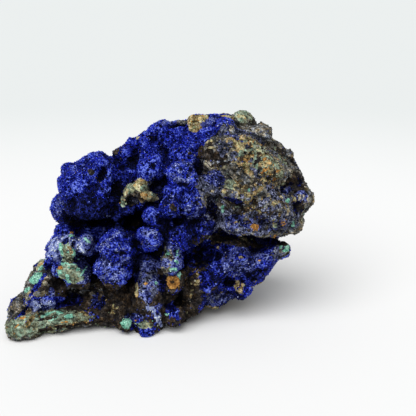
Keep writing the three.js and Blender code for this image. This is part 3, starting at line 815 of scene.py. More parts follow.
@dataclass
class MineralMap:
    """Says how much of each mineral every point of the surface holds.

    Patches are as deep as depth_share times their greater half width, and least_depth millimetres at least.
    Their edges wander by ragged half widths, less where they are wider than ragged_width pixels, and fade
    over edge. What lies under a patch shows in flecks. A lifted patch slopes over lift_edge.
    """

    view: FrontView
    surface: Shape
    ragged: float = 0.5
    ragged_width: float = 4.0
    wander_size: float = 5.0
    edge: float = 0.3
    reach: float = 1.9
    least_depth: float = 4.0
    depth_share: float = 1.3
    lift_edge: tuple[float, float] = (1.15, 0.55)
    fleck_size: float = 1.6
    fleck_edge: float = 0.3

    def __post_init__(self) -> None:
        """Makes the search tree that the pixels are cast onto."""
        self.tree = BVHTree.FromPolygons(self.surface.points.tolist(), self.surface.faces.tolist())

    def seen(self, pixel: Pixel) -> np.ndarray | None:
        """Finds the place on the surface that a pixel of the front view shows.

        Args:
            pixel: The pixel.

        Returns:
            A place in millimetres, or None where the pixel misses.
        """
        start = np.array(self.view.place) / MM
        place = self.tree.ray_cast(Vector(start), Vector(self.view.ray(pixel)))[0]
        return None if place is None else np.array(place)

    def distance(self, patch: Patch, points: np.ndarray) -> np.ndarray:
        """How far points are from the middle of a patch, with its edge at 1.

        Args:
            patch: The patch.
            points: Places in millimetres.

        Returns:
            One distance per point.
        """
        centre = self.seen(patch.pixel)
        if centre is None:
            LOG.warning("patch %s misses the surface", patch.name)
            return np.full(len(points), FAR)
        right, up, forward = self.view.axes()
        scale = (centre - np.array(self.view.place) / MM) @ forward / self.view.focal
        turn = math.radians(patch.turn)
        along = math.cos(turn) * right + math.sin(turn) * up
        across = math.cos(turn) * up - math.sin(turn) * right
        reach = [size * scale for size in patch.half]
        offset = points - centre
        depth = max(self.least_depth, self.depth_share * max(reach))
        parts = (offset @ along / reach[0], offset @ across / reach[1], offset @ forward / depth)
        return np.sqrt(sum(part * part for part in parts))

    def weights(self, points: np.ndarray) -> np.ndarray:
        """Weighs the minerals at each point.

        Args:
            points: Places in millimetres.

        Returns:
            One row per point, with a weight per mineral, adding up to 1.
        """
        wander = Noise(NoiseSeed.WANDER).fractal(points, self.wander_size)
        result = np.zeros((len(points), len(Mineral)))
        result[:, Mineral.AZURITE.value] = 1
        for i, spot in enumerate(SPOTS):
            distance = np.linalg.norm(points - np.array(spot.place), axis=1) / spot.radius
            self.lay(result, points, spot, distance + self.ragged * wander, NoiseSeed.SPOT + i)
        for i, patch in enumerate(PATCHES):
            rough = self.ragged * min(1.0, self.ragged_width / min(patch.half)) * wander
            self.lay(result, points, patch, self.distance(patch, points) + rough, NoiseSeed.PATCH + i)
        return result

    def lay(self, weights: np.ndarray, points: np.ndarray, patch: Patch | Spot, distance: np.ndarray,
            seed: int) -> None:
        """Lays a patch over those already there.

        Args:
            weights: The weights so far, which are changed.
            points: Places in millimetres.
            patch: What is laid.
            distance: Distance of each point from the middle of the patch, with its edge at 1.
            seed: Seed of the noise in which what lies under the patch shows through.
        """
        rows = np.nonzero(distance < self.reach)[0]
        cover = 1 - smooth_step(1 - self.edge, 1 + self.edge, distance[rows])
        if patch.share < 1:
            flecks = 0.5 + 0.5 * Noise(seed).fractal(points[rows], self.fleck_size, 3)
            bare = 1 - patch.share
            cover = cover * smooth_step(bare - self.fleck_edge, bare + self.fleck_edge, flecks)
        weights[rows] *= (1 - cover)[:, None]
        weights[rows, patch.mineral.value] += cover

    def sculpted(self, shape: Shape) -> Shape:
        """Raises or sinks the patches that stand out or lie deep.

        Args:
            shape: A surface near the one that the patches lie on.

        Returns:
            The surface with its patches lifted.
        """
        lift = np.zeros(len(shape.points))
        for patch in PATCHES:
            if patch.lift != 0:
                lift += patch.lift * smooth_step(*self.lift_edge, self.distance(patch, shape.points))
        return shape.lifted(lift)


@dataclass(frozen=True)
class Seeds:
    """Places on a surface where something grows."""

    places: np.ndarray
    normals: np.ndarray
    nearest: np.ndarray

    def only(self, keep: np.ndarray) -> "Seeds":
        """The seeds that keep marks."""
        return Seeds(self.places[keep], self.normals[keep], self.nearest[keep])

    @classmethod
    def sown(cls, shape: Shape, weights: np.ndarray, count: int, random: np.random.Generator) -> "Seeds":
        """Sows places at random over a surface.

        Args:
            shape: The surface.
            weights: How thickly to sow about each point.
            count: How many places to sow.
            random: Where the chances come from.

        Returns:
            The places, with the surface's direction and nearest point at each.
        """
        corners = shape.triangles()
        a, b, c = (shape.points[corners[:, i]] for i in range(3))
        area = np.linalg.norm(np.cross(b - a, c - a), axis=1)
        chance = area * weights[corners].mean(axis=1)
        chosen = random.choice(len(corners), count, p=chance / chance.sum())
        u, v = random.random((2, count))
        flip = u + v > 1
        u, v = np.where(flip, 1 - u, u)[:, None], np.where(flip, 1 - v, v)[:, None]
        places = a[chosen] + u * (b - a)[chosen] + v * (c - a)[chosen]
        nearest = corners[chosen, random.integers(0, 3, count)]
        return cls(places, shape.normals()[nearest], nearest)

    def spaced(self, gaps: np.ndarray) -> np.ndarray:
        """Picks seeds that keep their distance from each other.

        Args:
            gaps: The distance that each seed wants, in millimetres.

        Returns:
            True for each seed that stays.
        """
        cell = float(gaps.max())
        taken: dict[tuple[int, ...], list[int]] = {}
        keep = np.zeros(len(self.places), bool)
        homes = np.floor(self.places / cell).astype(int)
        steps = [np.array(step) - 1 for step in np.ndindex(3, 3, 3)]
        for i, home in enumerate(homes):
            near = [j for step in steps for j in taken.get(tuple(home + step), ())]
            if near and np.min(np.linalg.norm(self.places[near] - self.places[i], axis=1)) < gaps[i]:
                continue
            keep[i] = True
            taken.setdefault(tuple(home), []).append(i)
        return keep


def random_directions(count: int, random: np.random.Generator) -> np.ndarray:
    """Directions of length 1 that point anywhere.

    Args:
        count: How many.
        random: Where the chances come from.

    Returns:
        One row per direction.
    """
    rows = random.normal(size=(count, 3))
    return rows / np.linalg.norm(rows, axis=1, keepdims=True)


def frames_on(axes: np.ndarray, random: np.random.Generator) -> np.ndarray:
    """Frames whose third direction is an axis, turned about it at random.

    Args:
        axes: One axis of length 1 per frame.
        random: Where the chances come from.

    Returns:
        One 3 by 3 matrix per axis, with the frame's directions as its rows.
    """
    side = np.cross(axes, random_directions(len(axes), random))
    side /= np.maximum(np.linalg.norm(side, axis=1, keepdims=True), TINY)
    return np.stack([side, np.cross(axes, side), axes], axis=1)


def ball(rounds: int) -> Shape:
    """A ball of triangles with radius 1.

    Args:
        rounds: How often an icosahedron is split, from 1 for none.

    Returns:
        The ball's shape.
    """
    grid = bmesh.new()
    bmesh.ops.create_icosphere(grid, subdivisions=rounds, radius=1)
    mesh = bpy.data.meshes.new("ball")
    grid.to_mesh(mesh)
    grid.free()
    shape = Shape.of_mesh(mesh)
    bpy.data.meshes.remove(mesh)
    return Shape(shape.points * MM, shape.faces)


def spindle(shoulder: float) -> Shape:
    """A crystal with a point above and below and four edges round its shoulder, 2 units high and wide.

    Args:
        shoulder: Height of the shoulder, from -1 at the lower point to 1 at the upper.

    Returns:
        The crystal's shape.
    """
    ring = [(1, 0, shoulder), (0, 1, shoulder), (-1, 0, shoulder), (0, -1, shoulder)]
    points = np.array([*ring, (0, 0, 1), (0, 0, -1)], float)
    faces = [(i, (i + 1) % 4, 4) for i in range(4)] + [((i + 1) % 4, i, 5) for i in range(4)]
    return Shape(points, np.array(faces))


def stamped(stamp: Shape, places: np.ndarray, frames: np.ndarray, sizes: np.ndarray,
            jitter: float, random: np.random.Generator) -> Shape:
    """Puts a copy of a small shape at each place.

    Args:
        stamp: The small shape.
        places: Where the copies go, in millimetres.
        frames: The directions of each copy's own x, y and z.
        sizes: Its size along each of them, in millimetres.
        jitter: How far its points stray, as a share of its size.
        random: Where the chances come from.

    Returns:
        One shape that holds all the copies.
    """
    count, corners = len(places), len(stamp.points)
    local = stamp.points[None] + jitter * random.normal(size=(count, corners, 3))
    points = places[:, None] + np.einsum("nci,nij->ncj", local * sizes[:, None], frames)
    faces = stamp.faces[None] + corners * np.arange(count)[:, None, None]
    return Shape(points.reshape(-1, 3), faces.reshape(-1, 3))


@dataclass
class Graph:
    """Adds nodes to a node tree and links them."""

    tree: bpy.types.NodeTree

    def add(self, kind: str, settings: dict | None = None, inputs: dict | None = None) -> bpy.types.Node:
        """Adds a node.

        Args:
            kind: The node's type.
            settings: Values for the node's own properties.
            inputs: What goes into its sockets, by name or number: a value, or a socket to link.

        Returns:
            The new node.
        """
        node = self.tree.nodes.new(kind)
        for name, value in (settings or {}).items():
            setattr(node, name, value)
        self.feed(node, inputs or {})
        return node

    def feed(self, node: bpy.types.Node, inputs: dict) -> None:
        """Sets or links a node's inputs.

        Args:
            node: The node.
            inputs: What goes into its sockets, by name or number: a value, or a socket to link.
        """
        for name, value in inputs.items():
            socket = node.inputs[name]
            if isinstance(value, bpy.types.NodeSocket):
                self.tree.links.new(value, socket)
            elif isinstance(value, tuple) and len(value) == 3 and len(socket.default_value) == 4:
                socket.default_value = (*value, 1)
            else:
                socket.default_value = value

    def math(self, operation: str, a: object, b: object) -> bpy.types.NodeSocket:
        """Adds a sum or comparison of two values."""
        return self.add("ShaderNodeMath", {"operation": operation}, {0: a, 1: b}).outputs[0]

    def span(self, value: object, low: float, high: float,
             to_low: object, to_high: object) -> bpy.types.NodeSocket:
        """Maps a value from one range to another with soft ends, and stays inside it."""
        inputs = {0: value, 1: low, 2: high, 3: to_low, 4: to_high}
        return self.add("ShaderNodeMapRange", {"interpolation_type": "SMOOTHSTEP"}, inputs).outputs[0]

    def mix(self, factor: object, a: object, b: object, blend: str = "MIX") -> bpy.types.NodeSocket:
        """Mixes two colours."""
        settings = {"data_type": "RGBA", "blend_type": blend}
        return self.add("ShaderNodeMix", settings, {0: factor, 6: a, 7: b}).outputs[2]

    def attribute(self, name: str) -> bpy.types.Node:
        """Reads what the mesh keeps under a name."""
        return self.add("ShaderNodeAttribute", {"attribute_name": name})

    def group(self, tree: bpy.types.NodeTree, inputs: dict) -> bpy.types.Node:
        """Places a node group."""
        return self.add("ShaderNodeGroup", {"node_tree": tree}, inputs)


def new_group(name: str, inputs: dict[str, str], outputs: dict[str, str]) -> tuple[Graph, bpy.types.Node]:
    """Starts a shader node group.

    Args:
        name: The group's name.
        inputs: The kind of each input socket, by its name.
        outputs: The kind of each output socket, by its name.

    Returns:
        Its graph, and the node that gives the inputs.
    """
    tree = bpy.data.node_groups.new(name, "ShaderNodeTree")
    for direction, sockets in (("INPUT", inputs), ("OUTPUT", outputs)):
        for socket, kind in sockets.items():
            tree.interface.new_socket(socket, in_out=direction, socket_type=f"NodeSocket{kind}")
    graph = Graph(tree)
    return graph, graph.add("NodeGroupInput")


class Texture(Enum):
    """The ways in which the tones of a mineral lie side by side."""

    SPECKLE = "speckle"
    NETWORK = "network"
    STREAK = "streak"


class Effects:
    """The effects that the finishes share, each a node group that is made once.

    streak_turn is the slant of the streaks in degrees, and streak_length how much longer than wide they are.
    streak_specks are the scales of the specks between them, each with its share. Scales and lengths are in
    units of a texture's own size, and edge_span is where a mineral's mask rises.
    """

    streak_turn: float = 38.0
    streak_length: float = 4.0
    streak_specks: tuple[tuple[float, float], ...] = ((1.6, 0.9), (0.3, 0.8), (0.1, 0.7))
    noise_detail: float = 3.0
    grain_scale: float = 2.7
    grain_share: float = 0.3
    speckle_middle: float = 0.36
    bend_scale: float = 0.6
    bend_reach: float = 0.9
    bend_detail: float = 2.0
    strand_edge: tuple[float, float] = (0.16, 0.52)
    strand_height: float = 0.62
    edge_detail: float = 4.0
    edge_span: tuple[float, float] = (0.42, 0.58)

    def __init__(self) -> None:
        """Makes the groups."""
        self.edge = self.make_edge()
        self.textures = {
            Texture.SPECKLE: self.make_speckle(),
            Texture.NETWORK: self.make_network(),
            Texture.STREAK: self.make_streak(),
        }

    @staticmethod
    def start_texture(texture: Texture) -> tuple[Graph, bpy.types.Node, bpy.types.NodeSocket]:
        """Starts a texture's group.

        Args:
            texture: Which texture.

        Returns:
            Its graph, the node that gives its inputs, and the place on the piece in units of its size.
        """
        graph, given = new_group(texture.value, {"Size": "Float", "Contrast": "Float"}, {"Value": "Float"})
        place = graph.add("ShaderNodeTexCoord").outputs["Object"]
        scale = graph.math("DIVIDE", 1 / MM, given.outputs["Size"])
        scaled = graph.add("ShaderNodeVectorMath", {"operation": "SCALE"}, {0: place, "Scale": scale})
        return graph, given, scaled.outputs[0]

    @staticmethod
    def end_texture(graph: Graph, given: bpy.types.Node, value: bpy.types.NodeSocket) -> bpy.types.NodeTree:
        """Gives a texture its contrast and ends its group.

        Args:
            graph: The group's graph.
            given: The node that gives its inputs.
            value: The texture, about 0.5.

        Returns:
            The group.
        """
        spread = graph.math("MULTIPLY", graph.math("SUBTRACT", value, 0.5), given.outputs["Contrast"])
        graph.add("NodeGroupOutput", None, {"Value": graph.math("ADD", spread, 0.5)})
        return graph.tree

    @classmethod
    def noise(cls, graph: Graph, place: bpy.types.NodeSocket,
              scale: float, share: float) -> bpy.types.NodeSocket:
        """Adds noise about zero.

        Args:
            graph: Where it goes.
            place: Where it is read.
            scale: How many waves there are to a unit.
            share: How strong it is.

        Returns:
            Its value.
        """
        inputs = {"Vector": place, "Scale": scale, "Detail": cls.noise_detail}
        node = graph.add("ShaderNodeTexNoise", None, inputs)
        return graph.math("MULTIPLY", graph.math("SUBTRACT", node.outputs[0], 0.5), share)

    def make_speckle(self) -> bpy.types.NodeTree:
        """Grains of one size, with finer grains in them."""
        graph, given, place = self.start_texture(Texture.SPECKLE)
        fine = graph.add("ShaderNodeTexVoronoi", None, {"Vector": place, "Scale": self.grain_scale})
        grains = graph.math("MULTIPLY", fine.outputs[0], self.grain_share)
        both = graph.math("ADD", self.noise(graph, place, scale=1.0, share=1.0), grains)
        return self.end_texture(graph, given, graph.math("ADD", both, self.speckle_middle))

    def make_network(self) -> bpy.types.NodeTree:
        """Strands that run round dark pores."""
        graph, given, place = self.start_texture(Texture.NETWORK)
        inputs = {"Vector": place, "Scale": self.bend_scale, "Detail": self.bend_detail}
        bend = graph.add("ShaderNodeTexNoise", None, inputs).outputs[1]
        inputs = {0: bend, 1: (self.bend_reach,) * 3, 2: place}
        bent = graph.add("ShaderNodeVectorMath", {"operation": "MULTIPLY_ADD"}, inputs).outputs[0]
        cells = graph.add("ShaderNodeTexVoronoi", None, {"Vector": bent, "Scale": 1.0}).outputs[0]
        strands = graph.span(cells, *self.strand_edge, 0.0, self.strand_height)
        fine = graph.math("ADD", strands, self.noise(graph, place, scale=2.0, share=1.45))
        both = graph.math("ADD", fine, self.noise(graph, place, scale=0.25, share=1.0))
        return self.end_texture(graph, given, both)

    def make_streak(self) -> bpy.types.NodeTree:
        """Slanting streaks with specks between them."""
        graph, given, place = self.start_texture(Texture.STREAK)
        slant = {"Vector": place, "Rotation": (0, math.radians(self.streak_turn), 0)}
        slant["Scale"] = (self.streak_length, 1, 1)
        along = graph.add("ShaderNodeMapping", {"vector_type": "TEXTURE"}, slant).outputs[0]
        total = self.noise(graph, along, scale=1.0, share=1.3)
        for scale, share in self.streak_specks:
            total = graph.math("ADD", total, self.noise(graph, place, scale, share))
        return self.end_texture(graph, given, graph.math("ADD", total, 0.5))

    @classmethod
    def make_edge(cls) -> bpy.types.NodeTree:
        """The ragged edge of a mineral.

        Returns:
            A group that turns the mineral's weight into a mask.
        """
        inputs = {"Weight": "Float", "Size": "Float", "Raggedness": "Float", "Seed": "Float"}
        graph, given = new_group("ragged_edge", inputs, {"Mask": "Float"})
        place = graph.add("ShaderNodeTexCoord").outputs["Object"]
        scale = graph.math("DIVIDE", 1 / MM, given.outputs["Size"])
        inputs = {"Vector": place, "Scale": scale, "Detail": cls.edge_detail, "W": given.outputs["Seed"]}
        noise = graph.add("ShaderNodeTexNoise", {"noise_dimensions": "4D"}, inputs)
        centred = graph.math("SUBTRACT", noise.outputs[0], 0.5)
        shift = graph.math("MULTIPLY", centred, given.outputs["Raggedness"])
        shifted = graph.math("ADD", given.outputs["Weight"], shift)
        mask = graph.span(shifted, *cls.edge_span, 0.0, 1.0)
        graph.add("NodeGroupOutput", None, {"Mask": mask})
        return graph.tree


@dataclass(frozen=True)
class Pigment:
    """How one mineral colours the body.

    tones run from its darkest to its lightest colour, each with its place between 0 and 1. size is that of
    its texture in millimetres. stains are colours that it is tinted with, in spots of stain_size.
    """

    texture: Texture
    size: float
    contrast: float
    roughness: float
    tones: tuple[tuple[float, Colour], ...]
    stains: tuple[tuple[float, Colour], ...] = ()
    stain_size: float = 2.6
    stain_contrast: float = 2.0

    @staticmethod
    def ramp(graph: Graph, value: bpy.types.NodeSocket, tones: tuple) -> bpy.types.NodeSocket:
        """Turns a value into one of a row of tones."""
        ramp = graph.add("ShaderNodeValToRGB", None, {0: value})
        stops = ramp.color_ramp.elements
        while len(stops) < len(tones):
            stops.new(0.5)
        for stop, (place, colour) in zip(stops, tones):
            stop.position = place
            stop.color = (*colour, 1)
        return ramp.outputs[0]

    def paint(self, graph: Graph, effects: Effects,
              shift: bpy.types.NodeSocket) -> tuple[bpy.types.NodeSocket, bpy.types.NodeSocket]:
        """Adds the pigment to a material.

        Args:
            graph: The material's graph.
            effects: The effects that it uses.
            shift: How much lighter than usual it is, a painted highlight where the surface stands out.

        Returns:
            Its colour, and how light it is.
        """
        inputs = {"Size": self.size, "Contrast": self.contrast}
        value = graph.group(effects.textures[self.texture], inputs).outputs["Value"]
        colour = self.ramp(graph, graph.math("ADD", value, shift), self.tones)
        if self.stains:
            inputs = {"Size": self.stain_size, "Contrast": self.stain_contrast}
            spots = graph.group(effects.textures[Texture.SPECKLE], inputs).outputs["Value"]
            colour = graph.mix(1.0, colour, self.ramp(graph, spots, self.stains), "MULTIPLY")
        return colour, value


PIGMENTS = {
    Mineral.AZURITE: Pigment(Texture.NETWORK, 1.25, 1.2, 0.5, (
        (0.0, (0.0003, 0.0006, 0.007)), (0.3, (0.0009, 0.0017, 0.036)), (0.55, (0.0034, 0.0068, 0.122)),
        (0.8, (0.017, 0.030, 0.325)), (1.0, (0.13, 0.185, 0.63)),
    )),
    # Painted shade: near-black blue for where shade falls
    Mineral.PAINTED_SHADE_AND_DARK_BLUE: Pigment(Texture.NETWORK, 1.25, 1.3, 0.6, (
        (0.0, (0.0005, 0.0006, 0.003)), (0.45, (0.0010, 0.0015, 0.014)), (0.75, (0.003, 0.005, 0.06)),
        (1.0, (0.02, 0.03, 0.22)),
    )),
    Mineral.TAN: Pigment(Texture.SPECKLE, 1.3, 1.9, 0.75, (
        (0.0, (0.03, 0.022, 0.014)), (0.25, (0.17, 0.125, 0.07)), (0.55, (0.38, 0.31, 0.19)),
        (0.8, (0.50, 0.46, 0.32)), (1.0, (0.68, 0.62, 0.48)),
    ), ((0.2, (1.0, 0.95, 0.85)), (0.55, (0.85, 1.0, 0.86)), (0.8, (1.0, 0.74, 0.45)))),
    Mineral.DUSTY_AND_PAINTED_HIGHLIGHT: Pigment(Texture.NETWORK, 1.2, 1.2, 0.6, (
        (0.0, (0.0016, 0.0025, 0.012)), (0.28, (0.007, 0.0105, 0.058)), (0.55, (0.029, 0.038, 0.158)),
        (0.8, (0.085, 0.105, 0.31)), (1.0, (0.26, 0.31, 0.57)),
    )),
    Mineral.MATRIX: Pigment(Texture.STREAK, 0.95, 1.5, 0.7, (
        (0.0, (0.007, 0.007, 0.007)), (0.28, (0.034, 0.033, 0.030)), (0.52, (0.092, 0.087, 0.076)),
        (0.78, (0.21, 0.20, 0.178)), (1.0, (0.48, 0.46, 0.42)),
    ), (
        (0.15, (0.60, 0.70, 1.0)), (0.42, (0.84, 0.91, 1.0)), (0.58, (1.0, 0.97, 0.90)),
        (0.72, (1.0, 0.82, 0.60)), (0.84, (0.84, 1.0, 0.78)), (0.96, (1.0, 0.66, 0.34)),
    )),
    Mineral.SLATE: Pigment(Texture.NETWORK, 1.15, 1.25, 0.7, (
        (0.0, (0.004, 0.005, 0.008)), (0.3, (0.018, 0.020, 0.032)), (0.58, (0.052, 0.058, 0.098)),
        (0.82, (0.12, 0.132, 0.22)), (1.0, (0.30, 0.32, 0.44)),
    )),
    Mineral.EARTH: Pigment(Texture.SPECKLE, 1.25, 2.1, 0.75, (
        (0.0, (0.012, 0.010, 0.008)), (0.24, (0.06, 0.042, 0.024)), (0.44, (0.13, 0.11, 0.068)),
        (0.62, (0.235, 0.185, 0.105)), (0.82, (0.36, 0.30, 0.195)), (1.0, (0.56, 0.51, 0.40)),
    ), (
        (0.15, (0.62, 0.80, 0.62)), (0.4, (1.0, 0.94, 0.82)), (0.6, (1.0, 0.78, 0.5)),
        (0.78, (0.70, 1.0, 0.80)), (0.95, (1.0, 0.62, 0.26)),
    ), 2.0),
    # Dark earth, also used as painted shade
    Mineral.SOOT_AND_PAINTED_SHADE: Pigment(Texture.SPECKLE, 1.4, 2.0, 0.75, (
        (0.0, (0.003, 0.0028, 0.003)), (0.45, (0.013, 0.011, 0.010)), (0.8, (0.04, 0.033, 0.027)),
        (1.0, (0.10, 0.08, 0.06)),
    ), ((0.25, (0.75, 0.82, 1.0)), (0.55, (1.0, 0.95, 0.9)), (0.8, (1.0, 0.76, 0.5)))),
    Mineral.SAGE: Pigment(Texture.STREAK, 1.1, 1.35, 0.65, (
        (0.0, (0.016, 0.016, 0.013)), (0.3, (0.072, 0.080, 0.060)), (0.6, (0.185, 0.22, 0.17)),
        (1.0, (0.43, 0.50, 0.41)),
    ), ((0.2, (0.78, 1.0, 0.90)), (0.55, (0.98, 1.0, 0.94)), (0.9, (1.0, 0.86, 0.64)))),
    Mineral.MALACHITE: Pigment(Texture.SPECKLE, 1.1, 1.5, 0.55, (
        (0.0, (0.03, 0.10, 0.075)), (0.45, (0.12, 0.36, 0.26)), (1.0, (0.42, 0.70, 0.56)),
    )),
    Mineral.RUST: Pigment(Texture.SPECKLE, 0.9, 1.6, 0.7, (
        (0.0, (0.06, 0.026, 0.010)), (0.5, (0.31, 0.14, 0.035)), (1.0, (0.72, 0.40, 0.11)),
    )),
    Mineral.CHALK: Pigment(Texture.SPECKLE, 0.9, 1.8, 0.8, (
        (0.0, (0.05, 0.065, 0.24)), (0.45, (0.16, 0.20, 0.46)), (0.75, (0.36, 0.42, 0.62)),
        (1.0, (0.72, 0.77, 0.84)),
    )),
}


def new_material(name: str) -> tuple[bpy.types.Material, Graph, bpy.types.Node]:
    """Starts a material.

    Args:
        name: The material's name.

    Returns:
        The material, its graph and its shader.
    """
    material = bpy.data.materials.new(name)
    material.use_nodes = True
    return material, Graph(material.node_tree), material.node_tree.nodes["Principled BSDF"]


@dataclass(frozen=True)
class OreFinish:
    """The finish of the body, where the minerals lie side by side with ragged edges.

    edge_size and relief are in millimetres. shade is how dark the painted shade in a hollow is, and
    shade_blue how much of its blue it loses. Where the surface stands out, blue and other minerals are
    lighter by a painted highlight.
    """

    effects: Effects
    name: str = "ore_surface"
    edge_size: float = 1.5
    edge_seed_step: float = 3.0
    raggedness: float = 1.3
    specular: float = 0.05
    relief: float = 0.55
    shade: float = 0.93
    shade_blue: float = 0.85
    blue_painted_highlight: float = 0.22
    stone_painted_highlight: float = 0.14

    def build(self) -> bpy.types.Material:
        """Makes the material."""
        material, graph, shader = new_material(self.name)
        # Painted highlight: where the surface stands out, the colour is made lighter
        crest = graph.attribute("crest").outputs["Fac"]
        blue_highlight_shift = graph.math("MULTIPLY", crest, self.blue_painted_highlight)
        stone_highlight_shift = graph.math("MULTIPLY", crest, self.stone_painted_highlight)
        colour, height = PIGMENTS[Mineral.AZURITE].paint(graph, self.effects, blue_highlight_shift)
        rough = PIGMENTS[Mineral.AZURITE].roughness
        for mineral in list(Mineral)[1:]:
            pigment = PIGMENTS[mineral]
            shift = blue_highlight_shift if mineral in BLUE else stone_highlight_shift
            tone, value = pigment.paint(graph, self.effects, shift)
            weight = graph.attribute(mineral.name.lower()).outputs["Fac"]
            inputs = {"Weight": weight, "Size": self.edge_size, "Raggedness": self.raggedness}
            inputs["Seed"] = self.edge_seed_step * mineral.value
            mask = graph.group(self.effects.edge, inputs).outputs["Mask"]
            colour = graph.mix(mask, colour, tone)
            rough = graph.span(mask, 0.0, 1.0, rough, pigment.roughness)
            height = graph.span(mask, 0.0, 1.0, height, value)
        # Painted shade: the colour is darkened in hollows, its blue a little less than its red and green
        hollow = graph.attribute("hollow").outputs["Fac"]
        lit = graph.span(hollow, 0.0, 1.0, 1.0, 1 - self.shade)
        lit_blue = graph.span(hollow, 0.0, 1.0, 1.0, 1 - self.shade_blue)
        grey = graph.add("ShaderNodeCombineColor", None, {0: lit, 1: lit, 2: lit_blue}).outputs[0]
        bump = graph.add("ShaderNodeBump", None, {"Height": height, "Distance": self.relief * MM})
        inputs = {"Base Color": graph.mix(1.0, colour, grey, "MULTIPLY"), "Roughness": rough}
        graph.feed(shader, {**inputs, "Normal": bump.outputs[0], "Specular IOR Level": self.specular})
        return material


@dataclass(frozen=True)
class GrainFinish:
    """The finish of small grains, each of which keeps a colour of its own.

    gloss is the range of its roughness. Flaws of a size in millimetres change its light over flaw_light.
    """

    effects: Effects
    name: str
    gloss: tuple[float, float]
    specular: float
    flaw_size: float = 0.5
    flaw_contrast: float = 2.0
    flaw_light: tuple[float, float] = (0.65, 1.2)

    def build(self) -> bpy.types.Material:
        """Makes the material."""
        material, graph, shader = new_material(self.name)
        tint = graph.attribute("tint").outputs["Color"]
        inputs = {"Size": self.flaw_size, "Contrast": self.flaw_contrast}
        flaws = graph.group(self.effects.textures[Texture.SPECKLE], inputs).outputs["Value"]
        lit = graph.span(flaws, 0.0, 1.0, *self.flaw_light)
        grey = graph.add("ShaderNodeCombineColor", None, {i: lit for i in range(3)}).outputs[0]
        colour = graph.mix(1.0, tint, grey, "MULTIPLY")
        rough = graph.span(flaws, 0.0, 1.0, *self.gloss)
        graph.feed(shader, {"Base Color": colour, "Roughness": rough, "Specular IOR Level": self.specular})
        return material


# Corners of a face in its cell of the texture map: a square one, or two triangles that share a cell
SQUARE_IN_CELL = ((0.1, 0.1), (0.9, 0.1), (0.9, 0.9), (0.1, 0.9))
TRIANGLES_IN_CELL = (
    ((0.08, 0.08), (0.78, 0.08), (0.08, 0.78)),
    ((0.92, 0.92), (0.22, 0.92), (0.92, 0.22)),
)


def add_bake_map(mesh: bpy.types.Mesh, shape: Shape) -> None:
    """Gives every face room of its own on the mesh's texture map.

    Args:
        mesh: The mesh, which gets the map.
        shape: The shape that it was made from.
    """
    count, side = shape.faces.shape
    index = np.arange(count)
    if side == 4:
        cell, local = index, np.broadcast_to(np.array(SQUARE_IN_CELL), (count, 4, 2))
    else:
        cell, local = index // 2, np.array(TRIANGLES_IN_CELL)[index % 2]
    across = math.ceil(math.sqrt(cell[-1] + 1))
    corner = np.stack([cell % across, cell // across], axis=1)
    places = (corner[:, None] + local) / across
    layer = mesh.uv_layers.new(name="OFBake")
    layer.data.foreach_set("uv", places.astype(np.float32).ravel())


def place_piece(name: str, shape: Shape, finish: bpy.types.Material,
                values: dict[str, np.ndarray]) -> bpy.types.Object:
    """Makes one piece of the specimen.

    Args:
        name: The piece's name.
        shape: Its shape.
        finish: Its material.
        values: What its points keep, by name: one number each, or one colour.

    Returns:
        The new piece.
    """
    mesh = shape.to_mesh(name)
    for key, value in values.items():
        if value.ndim == 1:
            layer = mesh.attributes.new(key, "FLOAT", "POINT")
            layer.data.foreach_set("value", value.astype(np.float32))
        else:
            layer = mesh.attributes.new(key, "FLOAT_COLOR", "POINT")
            colours = np.concatenate([value, np.ones((len(value), 1))], axis=1)
            layer.data.foreach_set("color", colours.astype(np.float32).ravel())
    add_bake_map(mesh, shape)
    mesh.materials.append(finish)
    piece = linked(name, mesh)
    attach(piece, BODY)
    LOG.info("%s: %d faces", name, len(shape.faces))
    return piece


def amount(weights: np.ndarray, kinds: Iterable[Mineral]) -> np.ndarray:
    """How much of some minerals there is in each row of weights."""
    return sum(weights[:, kind.value] for kind in kinds)


@dataclass
class Ground:
    """A surface that grains grow on, with the minerals and how hollow it is at each of its points."""

    shape: Shape
    weights: np.ndarray
    hollow: np.ndarray

    def of(self, kinds: Iterable[Mineral]) -> np.ndarray:
        """How much of some minerals there is at each point."""
        return amount(self.weights, kinds)


